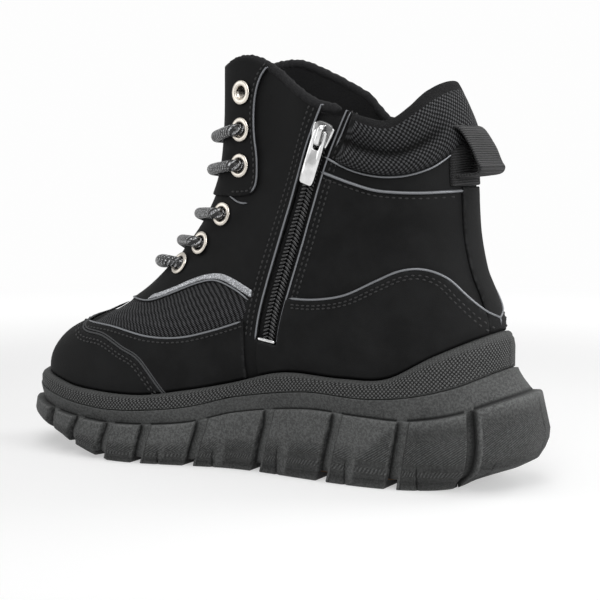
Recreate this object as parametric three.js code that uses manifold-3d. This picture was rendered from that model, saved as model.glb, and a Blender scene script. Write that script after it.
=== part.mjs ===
// Ankle boot, right shoe: chunky lugged sole, laced front, medial zip, padded mesh collar.
// Millimetres. Toe towards -X, medial (zip) side towards -Y, +Z up, standing on z = 0.
import * as THREE from 'three';
import Module from 'manifold-3d';
import { mergeVertices } from 'three/addons/utils/BufferGeometryUtils.js';

const wasm = await Module();
wasm.setup();

// Driving dimensions of the upper
const UPPER_LENGTH = 247;
const UPPER_HEIGHT = 164;
const HEEL_WIDTH = 69;
const WAIST_WIDTH = 66;
const BALL_WIDTH = 82;
const TOE_SWING = 5;
const OUTER_SWELL = 5.5;
const WALL = 2.4;
const OVERLAY = 1.2;
const RECESS = 0.9;
const GAP = 0.3;
const THROAT_LOW = 22;
const THROAT_HIGH = 29;
const TONGUE_THICKNESS = 4.5;
const TONGUE_WIDTH = 42;
const TONGUE_GAP = 0.9;
const INSOLE_THICKNESS = 3.5;
const BACKSTAY_WIDTH = 17;

// Driving dimensions of the sole
const SOLE_LIFT = 26;
const SOLE_SPREAD = 10;
const LUG_DEPTH = 4.2;
const TREAD_DEPTH = 5;
const TREAD_PLATE = 1.4;
const TREAD_CHANNEL = 30;
const TREAD_RIB = 8;
const RIB_COUNT = 9;
const GROOVE_WIDTH = 5.2;
const CUP_RIM = 4.2;
const CUP_SIDE = 5.8;
const CUP_SEAT = 2.6;
const CUP_WALL = 1.6;
const FOOTBED = 4.5;

// Driving dimensions of the collar, the loop, the lacing and the zip
const PAD_THICKNESS = 5;
const PAD_RISE = 3.2;
const WEBBING_WIDTH = 28;
const WEBBING = 1.5;
const LOOP_REACH = 15;
const EYELET_FLANGE = 11.4;
const EYELET_BORE = 6.2;
const EYELET_METAL = 0.5;
const EYELET_RIM = 0.8;
const EYELET_SEAT = 0.6;
const LACE_DIAMETER = 5.3;
const SLIT_WIDTH = 12;
const CHAIN_WIDTH = 6.8;
const TAPE_WIDTH = 18;
const TAPE = 0.8;
const SLIDER_LENGTH = 12;
const SLIDER_WIDTH = 9.4;
const SLIDER_PLATE = 1.6;
const BRIDGE_WIDTH = 2.6;
const BRIDGE_METAL = 1.1;
const PULL_LENGTH = 25;
const PULL_WIDTH = 7;
const PULL_PLATE = 1.4;

// Fineness of the faceted surfaces
const COLUMNS = 28;
const LINE_STEPS = 8;
const LACE_ARC = 3;
const LACE_STEPS = 6;
const EYELET_SIDES = 8;

// A table's rows as objects with its named columns
const table = (columns, rows) => rows.map(
  (row) => Object.fromEntries(columns.split(' ').map((name, i) => [name, row[i]])));

// Sections of the upper from its seat up to the collar: slanted rings from heel to toe or instep.
// Hundredths: x of UPPER_LENGTH, z of UPPER_HEIGHT above SOLE_LIFT, half widths of HEEL, WAIST and
// BALL_WIDTH, radius at the toe end of BALL_WIDTH and at the heel end of HEEL_WIDTH.
const SECTIONS = table('level toeX toeZ heelX heelZ heelHalf waistHalf ballHalf toeRound heelRound', [
  [0.00, -48.5, 0.0, 46.2, 11.0, 43.5, 41.0, 45.0, 38, 43],
  [0.12, -50.1, 7.9, 47.4, 26.8, 50.0, 47.7, 50.0, 40, 43],
  [0.20, -49.7, 13.4, 47.0, 31.1, 50.7, 50.0, 49.4, 37, 43],
  [0.28, -46.5, 18.9, 45.7, 36.6, 49.3, 50.0, 46.3, 34, 43],
  [0.36, -40.4, 23.5, 44.1, 42.1, 47.8, 50.0, 43.3, 32, 42],
  [0.44, -33.9, 28.0, 43.1, 47.6, 46.4, 50.0, 40.2, 31, 42],
  [0.52, -27.6, 33.8, 42.5, 53.0, 45.6, 50.0, 37.8, 31, 41],
  [0.60, -22.2, 40.8, 42.2, 58.5, 44.9, 50.0, 35.4, 31, 41],
  [0.68, -17.1, 48.5, 42.0, 64.0, 45.0, 50.5, 34.4, 31, 41],
  [0.76, -13.0, 56.7, 41.7, 69.8, 45.8, 51.0, 33.4, 32, 41],
  [0.84, -9.9, 67.1, 41.5, 76.2, 47.8, 52.7, 32.5, 32, 41],
  [0.92, -8.7, 80.5, 41.1, 83.5, 50.7, 54.5, 31.7, 32, 41],
  [1.00, -8.5, 98.2, 39.3, 92.7, 50.7, 54.5, 30.5, 32, 41],
]);
const FEATHER = 0.12;

// How far seat, feather and collar line leave a straight ring, hundredths of UPPER_HEIGHT,
// along: 0 heel, 1 toe
const SEAT_LINE = table('along lift', [
  [0, 0], [0.16, 0], [0.31, 0.4], [0.41, -0.4], [0.56, -3.7], [0.71, -5.5], [0.86, -4], [1, 0],
]);
const FEATHER_LINE = table('along lift', [
  [0, 0], [0.08, -4.3], [0.16, -9.1], [0.25, -8.2], [0.38, -5.5], [0.5, -7.6], [0.6, -8.8],
  [0.7, -9.1], [0.85, -5.8], [0.93, -2.4], [1, 0],
]);
const COLLAR_LINE = table('along lift', [
  [0, 0], [0.1, -6.7], [0.17, -10.7], [0.22, -11], [0.34, -8.2], [0.45, -7], [0.56, -3.4],
  [0.67, 0.8], [0.78, 3.8], [0.87, 3.5], [1, 0],
]);

// Side of the sole, along: 0 heel, 1 toe. Heights in hundredths of SOLE_LIFT, and how far each
// line stands out past the feather line in hundredths of SOLE_SPREAD.
const SOLE = table('along floor lugTop bandLow tread knee brow shoulder ledge', [
  [0.00, 0, 166, 203, -130, 190, 235, 190, 120],
  [0.05, 0, 135, 178, -20, 120, 145, 120, 85],
  [0.12, 0, 120, 160, 30, 65, 78, 72, 65],
  [0.20, 0, 122, 153, 40, 60, 72, 68, 62],
  [0.32, 0, 126, 156, 30, 55, 65, 62, 58],
  [0.48, 0, 107, 135, 15, 45, 58, 56, 56],
  [0.60, 0, 80, 108, 35, 65, 75, 70, 60],
  [0.75, 0, 71, 95, 60, 85, 92, 84, 66],
  [0.85, 20, 76, 101, 45, 82, 94, 86, 66],
  [0.93, 39, 86, 114, 10, 76, 94, 86, 64],
  [1.00, 50, 96, 126, -25, 68, 92, 84, 60],
]);
const KNEE_HEIGHT = 0.28;
const BROW_HEIGHT = 0.55;
const FLAT_SPRING = 0.76;

// Grooves between the lugs: x at their top and at the tread, hundredths of UPPER_LENGTH
const GROOVES = table('top tread', [
  [-42.0, -43.1], [-34.1, -37.0], [-26.2, -28.7], [-17.8, -20.1], [-6.6, -9.6],
  [7.8, 3.8], [22.6, 18.8], [35.5, 33.1], [48.7, 48.4],
]);
const TOE_GROOVE_ANGLES = [-20, 20];
const TOE_GROOVE_CENTRE = -33;
const CHANNEL_ENDS = [-43.8, 45];
const RIB_ENDS = [-39.5, 36];

// Side outlines, hundredths: x of UPPER_LENGTH, z of UPPER_HEIGHT above SOLE_LIFT
const TOE_CAP_EDGE = [[-42, 27], [-38, 20.7], [-30.8, 19.5], [-25.3, 16.5], [-20.6, 13.4], [-15, 4]];
const WINDOW_LOW = [[-38, 22.6], [-29, 22.6], [-19.3, 20.9], [-12.1, 21.3], [-5.3, 23.8], [1.6, 27.2]];
const WINDOW_HIGH = [[2.6, 33.2], [-0.4, 36], [-5.1, 38.2], [-9.7, 37], [-16.6, 33.2], [-21.5, 31.1],
  [-28, 31], [-35, 29.5]];
const COUNTER_ARCH = [[11.7, 34.4], [17, 34.4], [23.1, 36], [29.1, 40.2], [33.2, 43], [37, 43.6],
  [40.4, 41.5], [43.6, 36.5], [48.5, 28]];
const EYESTAY_EDGE = [[5.7, 99], [3.6, 95.7], [2.4, 89.6], [2.3, 81.1], [3.1, 72.6], [3.1, 65.9],
  [1.6, 62.9], [-3, 62.2]];
const PAD_LOW = table('x z', [
  [14, 76], [19, 73.8], [24, 70.5], [28.8, 69], [33.5, 68.8], [37, 70.5], [38.2, 77], [38.8, 83.5],
  [39.6, 85], [46, 85.5],
]);
const PAD_FRONT = [[18.5, 64], [21.6, 75], [24.2, 84], [27.4, 96]];
const ZIP_LINE = [[21.6, 88.5], [15.9, 67.4], [11.7, 49.4], [7.8, 31.1], [6.6, 21.5]];
const SEAM_FOOT = [2.1, 8];
const SLIDER_AT = [19.1, 79.5];
const PULL_END_AT = [14.2, 60];
const THROAT_FOOT = 44;
const THROAT_STEP = [62, 66];

// Eyelet centres on the side, hundredths, the uppermost first
const EYELETS = table('x z', [
  [-0.7, 91.6], [-0.8, 81.1], [-0.8, 70.9], [-5.2, 57.0], [-10.3, 48.4], [-15.2, 42.2],
]);

// A lace from one eyelet across the throat: how far across, and whether it lies over the eyelet's
// flange (1) or on the tongue (0)
const CROSSING = table('across over', [
  [0, 1], [0.15, 1], [0.29, 1], [0.36, 0.85], [0.43, 0.35], [0.5, 0.05], [0.62, 0],
]);
// The lowest lace, from each last eyelet down to the foot of the throat, its height hundredths
const BAR = table('inward down over', [
  [0, 0, 1], [0.2, 0, 1.05], [0.45, 0.3, 1.05], [0.7, 0.8, 0.85], [1, 1, 0.8],
]);
const BAR_FOOT = 39.5;

// The collar pad's section: share of its height, offset off the wall in pad thicknesses, rise in
// pad rises. The crown lies above the wall.
const PAD_OUTSIDE = table('share out rise', [
  [0, 0.2, 0], [0.1, 0.6, 0], [0.4, 0.95, 0], [0.75, 1, 0], [1, 0.7, 0.6],
]);
const PAD_CROWN = table('share out rise', [[1, -0.24, 1]]);
const PAD_INSIDE = table('share out rise', [[1, 0.35, 0.7], [0.75, 0.9, 0], [0.3, 0.8, 0], [0, 0.2, 0]]);

// Foot and head of the webbing strip, hundredths of UPPER_HEIGHT
const LOOP_FOOT = 65.8;
const LOOP_HEAD = 83;

const sideX = (share) => share / 100 * UPPER_LENGTH;
const sideZ = (share) => SOLE_LIFT + share / 100 * UPPER_HEIGHT;
const onSide = (points) => points.map(([x, z]) => new THREE.Vector2(sideX(x), sideZ(z)));
const mix = (a, b, t) => a + (b - a) * t;
const smooth = (t) => {
  const c = Math.min(1, Math.max(0, t));
  return c * c * (3 - 2 * c);
};

// Smooth curve through a table's rows: cubic pieces that share the mean slope of their neighbours
function curve(rows, key, name) {
  const x = rows.map((row) => row[key]);
  const y = rows.map((row) => row[name]);
  const last = x.length - 1;
  const slope = x.map((_, i) => {
    const a = Math.max(0, i - 1);
    const b = Math.min(last, i + 1);
    return (y[b] - y[a]) / (x[b] - x[a]);
  });
  return (q) => {
    const c = Math.min(x[last], Math.max(x[0], q));
    let i = 0;
    while (i < last - 1 && c > x[i + 1]) i += 1;
    const h = x[i + 1] - x[i];
    const t = (c - x[i]) / h;
    const rise = t * (1 - t) * ((1 - t) * slope[i] - t * slope[i + 1]);
    return mix(y[i], y[i + 1], t * t * (3 - 2 * t)) + h * rise;
  };
}
const curves = (rows) => {
  const [key, ...names] = Object.keys(rows[0]);
  return Object.fromEntries(names.map((name) => [name, curve(rows, key, name)]));
};

const section = curves(SECTIONS);
const sole = curves(SOLE);
const seatLift = curves(SEAT_LINE).lift;
const featherLift = curves(FEATHER_LINE).lift;
const collarLift = curves(COLLAR_LINE).lift;

// Share of the way from heel to toe at a place round a ring: 0 heel, 1 toe by the medial side, 2 heel
const along = (s) => (1 - Math.cos(Math.PI * s)) / 2;
const lengthOf = (level) => sideX(section.heelX(level)) - sideX(section.toeX(level));

// Height that a ring of this level gains at this place along it
function lift(t, level) {
  const low = level < FEATHER ? mix(seatLift(t), featherLift(t), level / FEATHER)
    : featherLift(t) * (1 - smooth((level - FEATHER) / 0.38));
  return (low + collarLift(t) * smooth((level - 0.55) / 0.45)) / 100 * UPPER_HEIGHT;
}

// Half width of a ring: three widths blended along it, closed by a round end at heel and toe
function halfWidth(t, level, lateral) {
  const heel = section.heelHalf(level) / 100 * HEEL_WIDTH;
  const waist = section.waistHalf(level) / 100 * WAIST_WIDTH;
  const ball = section.ballHalf(level) / 100 * BALL_WIDTH;
  const width = t < 0.48 ? mix(heel, waist, smooth((t - 0.18) / 0.3))
    : mix(waist, ball, smooth((t - 0.48) / 0.27));
  const fade = (1 - smooth(level / 0.5)) * smooth(t / 0.4) * (1 - smooth((t - 0.75) / 0.25));
  const toePower = 2 * section.toeRound(level) / 100 * BALL_WIDTH * lengthOf(level) / ball ** 2;
  const heelPower = 2 * section.heelRound(level) / 100 * HEEL_WIDTH * lengthOf(level) / heel ** 2;
  const round = Math.sqrt(1 - t ** toePower) * Math.sqrt(1 - (1 - t) ** heelPower);
  return (width + (lateral ? OUTER_SWELL * fade : 0)) * round;
}

// Point of the upper's outer face at a place round the ring of a level
function face(s, level) {
  const t = along(s);
  const lateral = Math.sin(Math.PI * s) < 0;
  const x = mix(sideX(section.heelX(level)), sideX(section.toeX(level)), t);
  const z = sideZ(mix(section.heelZ(level), section.toeZ(level), t)) + lift(t, level);
  const swing = -TOE_SWING * t ** 3 * (1 - smooth(level / 0.55));
  return new THREE.Vector3(x, (lateral ? 1 : -1) * halfWidth(t, level, lateral) + swing, z);
}

// Outward direction of that face, from its two tangents
function outward(s, level) {
  const step = 0.004;
  const round = face(s + step, level).sub(face(s - step, level));
  const up = face(s, Math.min(1, level + step)).sub(face(s, Math.max(0, level - step)));
  return up.cross(round).normalize();
}

// The same face moved out by d along its outward direction, and up by h
const shell = (s, level, d, h = 0) => face(s, level).addScaledVector(outward(s, level), d)
  .add(new THREE.Vector3(0, 0, h));

// Place round the ring and level of a point of the side, given in hundredths
function locate([x, z], lateral = false) {
  const place = (level) => {
    const t = (sideX(section.heelX(level)) - sideX(x)) / lengthOf(level);
    return Math.acos(1 - 2 * Math.min(1, Math.max(0, t))) / Math.PI;
  };
  let low = 0;
  let high = 1;
  for (let i = 0; i < 30; i += 1) {
    const level = (low + high) / 2;
    if (face(place(level), level).z < sideZ(z)) low = level;
    else high = level;
  }
  return { s: lateral ? 2 - place(low) : place(low), level: low };
}

// Point round the sole: the feather line's plan moved straight out by spread, at height z
function outline(s, spread, z) {
  const step = 0.004;
  const point = face(s, FEATHER);
  const run = face(s + step, FEATHER).sub(face(s - step, FEATHER));
  const out = new THREE.Vector3(-run.y, run.x, 0).normalize();
  return point.addScaledVector(out, spread).setZ(z);
}
const soleHeight = (name, t) => sole[name](t) / 100 * SOLE_LIFT;
const soleSpread = (name, t) => sole[name](t) / 100 * SOLE_SPREAD;
const floorAt = (t) => (t < FLAT_SPRING ? 0 : soleHeight('floor', t));

const ringOf = (point) => Array.from({ length: COLUMNS }, (_, i) => point(2 * i / COLUMNS));
const soleRing = (spread, height) => ringOf((s) => outline(s, spread(along(s)), height(along(s))));
const shellRing = (level, d) => ringOf((s) => shell(s, level, d));
const spaced = (from, to, count) =>
  Array.from({ length: count }, (_, i) => mix(from, to, i / (count - 1)));

// Solid from its points and the triangles between them
function solid(points, faces) {
  const vertProperties = new Float32Array(points.flatMap((p) => [p.x, p.y, p.z]));
  const triVerts = new Uint32Array(faces.filter((f) => new Set(f).size === 3).flat());
  return new wasm.Manifold(new wasm.Mesh({ numProp: 3, vertProperties, triVerts }));
}

// Skin over rings of equal count, closed on itself or capped straight across at both ends. Its faces
// are split the same way up the form whichever way the rings run, so that nested skins stay clear.
function skin(rings, closed = false) {
  const n = rings[0].length;
  const at = (i, j) => (i % rings.length) * n + (j % n);
  const faces = [];
  const height = (ring) => ring.reduce((sum, p) => sum + p.z, 0);
  for (let i = 0; i < rings.length - (closed ? 0 : 1); i += 1) {
    const rising = height(rings[(i + 1) % rings.length]) > height(rings[i]);
    for (let j = 0; j < n; j += 1) {
      const [a, b, c, d] = [at(i, j), at(i + 1, j), at(i + 1, j + 1), at(i, j + 1)];
      faces.push(...(rising ? [[a, b, d], [b, c, d]] : [[a, b, c], [a, c, d]]));
    }
  }
  for (let j = 0; j < (closed ? 0 : n / 2); j += 1) {
    const [a, b, c, d] = [at(0, j), at(0, j + 1), at(0, n - j - 1), at(0, n - j)];
    faces.push([a, b, c], [a, c, d]);
    const top = (rings.length - 1) * n;
    faces.push([c + top, b + top, a + top], [d + top, c + top, a + top]);
  }
  return solid(rings.flat(), faces);
}

// Closed wall of the upper's own form between two offsets and two levels, on the rings of SECTIONS
const RINGS = [0, FEATHER, 0.2, 0.28, 0.36, 0.44, 0.52, 0.6, 0.68, 0.77, 0.88, 1];
function wall(inner, outer, from, to, rise = 0) {
  const steps = [from, ...RINGS.filter((level) => level > from && level < to), to];
  const ring = (d) => (level) => ringOf((s) => shell(s, level, d, level === to ? rise : 0));
  return skin([...steps.map(ring(outer)), ...steps.reverse().map(ring(inner))], true);
}

// Solid of a three.js geometry, moved by a matrix
function fromGeometry(geometry, matrix = new THREE.Matrix4()) {
  geometry.deleteAttribute('normal');
  geometry.deleteAttribute('uv');
  const { attributes, index } = mergeVertices(geometry, 1e-4).applyMatrix4(matrix);
  const vertProperties = attributes.position.array;
  const triVerts = new Uint32Array(index.array);
  return new wasm.Manifold(new wasm.Mesh({ numProp: 3, vertProperties, triVerts }));
}

// Prisms: a side outline run across from y to y, a front outline run from x to x
function sidePrism(points, from, to) {
  const shape = new THREE.Shape(points);
  const geometry = new THREE.ExtrudeGeometry(shape, { depth: to - from, bevelEnabled: false });
  return fromGeometry(geometry, new THREE.Matrix4().makeRotationX(Math.PI / 2).setPosition(0, to, 0));
}
function frontPrism(shape, from, to) {
  const geometry = new THREE.ExtrudeGeometry(
    shape, { depth: to - from, bevelEnabled: false, curveSegments: 5 });
  const turn = new THREE.Matrix4().makeBasis(
    new THREE.Vector3(0, 1, 0), new THREE.Vector3(0, 0, 1), new THREE.Vector3(1, 0, 0));
  return fromGeometry(geometry, turn.setPosition(from, 0, 0));
}
const box = (x0, x1, y0, y1, z0, z1) => fromGeometry(
  new THREE.BoxGeometry(x1 - x0, y1 - y0, z1 - z0),
  new THREE.Matrix4().makeTranslation((x0 + x1) / 2, (y0 + y1) / 2, (z0 + z1) / 2));

// Smooth line through side points
const smoothLine = (points) => new THREE.SplineCurve(onSide(points)).getPoints(LINE_STEPS);

// Outline of a strip of this width along a line
function ribbon(line, width) {
  const side = (sign) => line.map((p, i) => {
    const a = line[Math.max(0, i - 1)];
    const b = line[Math.min(line.length - 1, i + 1)];
    const out = new THREE.Vector2(b.y - a.y, a.x - b.x).normalize();
    return p.clone().addScaledVector(out, sign * width / 2);
  });
  return [...side(1), ...side(-1).reverse()];
}

const FAR = UPPER_LENGTH;
const MEDIAL = [-FAR, 0];
const LATERAL = [0, FAR];
const BOTH = [-FAR, FAR];
const corner = (x, z) => new THREE.Vector2(x, z);

const sliderPlace = locate(SLIDER_AT);
const zipLine = smoothLine(ZIP_LINE);
const zipStrip = (width) => sidePrism(ribbon(zipLine, width), ...MEDIAL);

// Slot of the throat from the front: a round foot, then wider above the step
function throatSlot(shrink = 0) {
  const low = THROAT_LOW / 2 - shrink;
  const high = THROAT_HIGH / 2 - shrink;
  const foot = sideZ(THROAT_FOOT);
  const shape = new THREE.Shape();
  shape.moveTo(high, FAR).lineTo(-high, FAR).lineTo(-high, sideZ(THROAT_STEP[1]));
  shape.lineTo(-low, sideZ(THROAT_STEP[0])).lineTo(-low, foot);
  shape.absarc(0, foot, low, Math.PI, 2 * Math.PI, false);
  shape.lineTo(low, sideZ(THROAT_STEP[0])).lineTo(high, sideZ(THROAT_STEP[1])).lineTo(high, FAR);
  return frontPrism(shape, -FAR, 0);
}

// Turns +Y to the face's outward direction at a place, and moves there
function onFace({ s, level }, d = 0) {
  const turn = new THREE.Quaternion().setFromUnitVectors(new THREE.Vector3(0, 1, 0), outward(s, level));
  return new THREE.Matrix4().compose(shell(s, level, d), turn, new THREE.Vector3(1, 1, 1));
}

const eyeletPlaces = EYELETS.flatMap(({ x, z }, i) => ['medial', 'lateral'].map((side) => ({
  name: `eyelet_${side}_${i + 1}`,
  place: locate([x, z], side === 'lateral'),
  base: EYELET_SEAT + (z > THROAT_STEP[1] ? GAP + OVERLAY : 0),
})));
const eyeletHoles = wasm.Manifold.union(eyeletPlaces.map(({ place }) => fromGeometry(
  new THREE.CylinderGeometry(EYELET_BORE / 2 + EYELET_METAL + GAP, EYELET_BORE / 2 + EYELET_METAL + GAP,
    20, EYELET_SIDES), onFace(place))));

// The mesh window of each side lies lower than the panels round it
const meshWindow = sidePrism([...smoothLine(WINDOW_LOW), ...smoothLine(WINDOW_HIGH)], ...BOTH)
  .intersect(wall(-RECESS, RECESS, FEATHER, 0.6));

function upper() {
  return wall(-WALL, 0, 0, 1)
    .subtract(throatSlot()).subtract(zipStrip(SLIT_WIDTH)).subtract(eyeletHoles).subtract(meshWindow);
}

// An overlay lies on the upper between two of its own offsets, inside a side outline
const coat = wall(GAP, GAP + OVERLAY, FEATHER, 1);
const overlay = (outlinePoints, [from, to]) => coat.intersect(sidePrism(outlinePoints, from, to));

const toeCapEdge = smoothLine(TOE_CAP_EDGE);
const [seamHead, seamFoot] = onSide([WINDOW_LOW.at(-1), SEAM_FOOT]);
const toeCap = () => overlay([...toeCapEdge, corner(-FAR, 0), corner(-FAR, toeCapEdge[0].y)], BOTH);
const mudguard = (side) => overlay([...smoothLine(WINDOW_LOW), seamFoot, ...toeCapEdge.toReversed()], side)
  .subtract(sidePrism(ribbon(toeCapEdge, 2 * GAP), ...BOTH));
const counter = (side) => overlay([
  corner(seamFoot.x + 2 * GAP, 0), corner(seamHead.x + 2 * GAP, seamHead.y),
  ...smoothLine(COUNTER_ARCH), corner(FAR, 0)], side)
  .subtract(box(0, FAR, -BACKSTAY_WIDTH / 2 - GAP, BACKSTAY_WIDTH / 2 + GAP, 0, FAR))
  .subtract(zipStrip(SLIT_WIDTH));
function eyestay(side) {
  const edge = smoothLine(EYESTAY_EDGE);
  const front = [corner(-FAR / 2, edge.at(-1).y), corner(-FAR / 2, FAR), corner(edge[0].x, FAR)];
  return overlay([...edge, ...front], side).subtract(throatSlot()).subtract(eyeletHoles);
}
const backstay = () => coat.intersect(
  box(0, FAR, -BACKSTAY_WIDTH / 2, BACKSTAY_WIDTH / 2, 0, sideZ(LOOP_FOOT) - 2 * GAP));

function tongue() {
  const outer = -WALL - TONGUE_GAP;
  return wall(outer - TONGUE_THICKNESS, outer, 0.5, 0.985)
    .intersect(box(-FAR, sideX(14), -TONGUE_WIDTH / 2, TONGUE_WIDTH / 2, sideZ(34), sideZ(93)));
}

function insole() {
  const inset = -WALL - 2 * GAP;
  const seat = (h) => ringOf((s) => {
    const edge = face(s, 0);
    const out = outline(s, 1, 0).sub(outline(s, 0, 0));
    return edge.addScaledVector(out, inset).setZ(edge.z + h);
  });
  return skin([seat(GAP), seat(GAP + INSOLE_THICKNESS)]);
}

// Cup round the upper's foot: knurled side band, rim, inner wall on the upper and the footbed
function midsole() {
  const rimZ = (s) => shell(s, FEATHER, GAP + OVERLAY).z - 2 * GAP;
  const low = (s) => soleHeight('bandLow', along(s)) + GAP;
  return skin([
    ringOf((s) => outline(s, CUP_SEAT, face(s, 0).z - FOOTBED)),
    ringOf((s) => outline(s, CUP_SEAT, low(s))),
    ringOf((s) => outline(s, CUP_SIDE, low(s))),
    ringOf((s) => outline(s, CUP_SIDE, mix(low(s), rimZ(s), 0.6))),
    ringOf((s) => outline(s, CUP_RIM, rimZ(s))),
    ringOf((s) => shell(s, FEATHER, GAP).setZ(rimZ(s))),
    shellRing(0, GAP),
  ]);
}

// Full body of the lugs before their grooves, and the sole's core behind them
function lugBody() {
  const height = (share) => (t) => mix(floorAt(t), soleHeight('lugTop', t), share);
  return skin([
    soleRing((t) => soleSpread('tread', t), height(0)),
    soleRing((t) => soleSpread('knee', t), height(KNEE_HEIGHT)),
    soleRing((t) => soleSpread('brow', t), height(BROW_HEIGHT)),
    soleRing((t) => soleSpread('shoulder', t), height(1)),
  ]);
}
function soleCore() {
  const height = (share) => (t) => mix(floorAt(t), soleHeight('lugTop', t), share);
  const inner = (name) => (t) => soleSpread(name, t) - LUG_DEPTH;
  const behind = (t) => Math.max(soleSpread('shoulder', t) - LUG_DEPTH, CUP_SEAT + CUP_WALL);
  return skin([
    soleRing(inner('tread'), (t) => floorAt(t) + TREAD_DEPTH),
    soleRing(inner('knee'), (t) => Math.max(height(KNEE_HEIGHT)(t), floorAt(t) + TREAD_DEPTH + GAP)),
    soleRing(behind, height(1)),
    soleRing((t) => soleSpread('ledge', t), (t) => soleHeight('bandLow', t)),
  ]);
}

// Slanted grooves across the sole, round the toe, and the channel down its middle
function grooves(narrower) {
  const width = GROOVE_WIDTH - 2 * narrower;
  const across = GROOVES.map(({ top, tread }) => {
    const t = (sideX(section.heelX(FEATHER)) - sideX(top)) / lengthOf(FEATHER);
    const head = corner(sideX(top), soleHeight('lugTop', t));
    const foot = corner(sideX(tread), floorAt(t));
    const lean = head.clone().sub(foot);
    const line = [foot.clone().addScaledVector(lean, -0.5), head.clone().addScaledVector(lean, 0.5)];
    return sidePrism(ribbon(line, width), ...BOTH);
  });
  const round = TOE_GROOVE_ANGLES.map((angle) => fromGeometry(
    new THREE.BoxGeometry(FAR, width, FAR),
    new THREE.Matrix4().makeRotationZ(angle * Math.PI / 180).premultiply(
      new THREE.Matrix4().makeTranslation(sideX(TOE_GROOVE_CENTRE), 0, 0)).multiply(
      new THREE.Matrix4().makeTranslation(-FAR / 2, 0, 0)))
    .trimByPlane([-1, 0, 0], -sideX(CHANNEL_ENDS[0]) - GROOVE_WIDTH));
  const half = TREAD_CHANNEL / 2 - narrower;
  const [from, to] = CHANNEL_ENDS.map(sideX);
  const channel = box(from + narrower, to - narrower, -half, half, -FAR, FAR);
  return wasm.Manifold.union([...across, ...round, channel]);
}
const fullLugs = lugBody();

function outsole() {
  const recess = skin([
    ringOf((s) => outline(s, CUP_SEAT + GAP, face(s, 0).z - FOOTBED - GAP)),
    ringOf((s) => outline(s, CUP_SEAT + GAP, sideZ(60))),
  ]);
  return soleCore().add(fullLugs.subtract(grooves(0))).subtract(recess);
}

// Plate between the lugs, with ribs down the middle that reach the floor
function treadPlate() {
  const edge = (t) => soleSpread('tread', t) - LUG_DEPTH;
  const layer = (low, high) => skin([
    soleRing(edge, (t) => floorAt(t) + low), soleRing(edge, (t) => floorAt(t) + high)]);
  const top = TREAD_DEPTH - GAP;
  const plate = layer(top - TREAD_PLATE, top).subtract(fullLugs.subtract(grooves(GAP)));
  const middle = spaced(sideX(RIB_ENDS[0]), sideX(RIB_ENDS[1]), RIB_COUNT);
  const ribs = wasm.Manifold.union(middle.map((x) => box(
    x - TREAD_RIB / 2, x + TREAD_RIB / 2, -TREAD_CHANNEL / 3, TREAD_CHANNEL / 3, -FAR, FAR)));
  return plate.add(layer(0, top - TREAD_PLATE / 2).intersect(ribs));
}

// Solid from columns that each hold one closed section, its ends cut into triangles from a flat outline
function sleeve(columns, flat) {
  const n = flat.length;
  const faces = [];
  for (let i = 0; i < columns.length - 1; i += 1) {
    for (let j = 0; j < n; j += 1) {
      const [a, b, c, d] = [i * n + j, i * n + (j + 1) % n, (i + 1) * n + (j + 1) % n, (i + 1) * n + j];
      faces.push([a, b, c], [a, c, d]);
    }
  }
  const last = (columns.length - 1) * n;
  THREE.ShapeUtils.triangulateShape(flat, []).forEach(([a, b, c]) => {
    faces.push([c, b, a], [a + last, b + last, c + last]);
  });
  return solid(columns.flat(), faces);
}

// Padded collar: a soft channel over the upper's back edge, between the zip and the facing
function collarPad() {
  const low = curves(PAD_LOW).z;
  const footAt = (s) => spaced(0.6, 1, 80).reduce((foot, level) => {
    const p = face(s, level);
    return p.z < sideZ(low(p.x / UPPER_LENGTH * 100)) ? level : foot;
  }, 0.6);
  const inner = -WALL - GAP;
  const part = (rows, from, sign) => rows.map(({ share, out, rise }) => ({
    share, d: from + sign * out * PAD_THICKNESS, h: rise * PAD_RISE }));
  const rows = [...part(PAD_OUTSIDE, GAP, 1), ...part(PAD_CROWN, 0, 1), ...part(PAD_INSIDE, inner, -1)];
  const reach = Math.ceil(locate([PAD_LOW[0].x, PAD_LOW[0].z]).s * COLUMNS / 2);
  const columns = spaced(-reach, reach, 2 * reach + 1).map((i) => 2 * i / COLUMNS).map(
    (s) => rows.map(({ share, d, h }) => shell(s, mix(footAt(s), 1, share), d, h)));
  const flat = rows.map(({ share, d, h }) => corner(d, share * UPPER_HEIGHT + h));
  const behind = sidePrism([...smoothLine(PAD_FRONT), corner(FAR, FAR), corner(FAR, sideZ(60))], ...BOTH);
  return sleeve(columns, flat)
    .subtract(wall(inner, GAP, 0.44, 1, GAP))
    .intersect(behind)
    .subtract(zipStrip(TAPE_WIDTH + 2 * GAP))
    .subtract(webbingStrip(GAP));
}

// Webbing strip on the heel seam, from the quarter's top edge up under the collar
function webbingStrip(grow = 0) {
  const half = WEBBING_WIDTH / 2 + grow;
  return wall(GAP - grow, GAP + WEBBING + grow, 0.6, 0.99)
    .intersect(box(0, FAR, -half, half, sideZ(LOOP_FOOT) - grow, sideZ(LOOP_HEAD) + grow));
}

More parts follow.
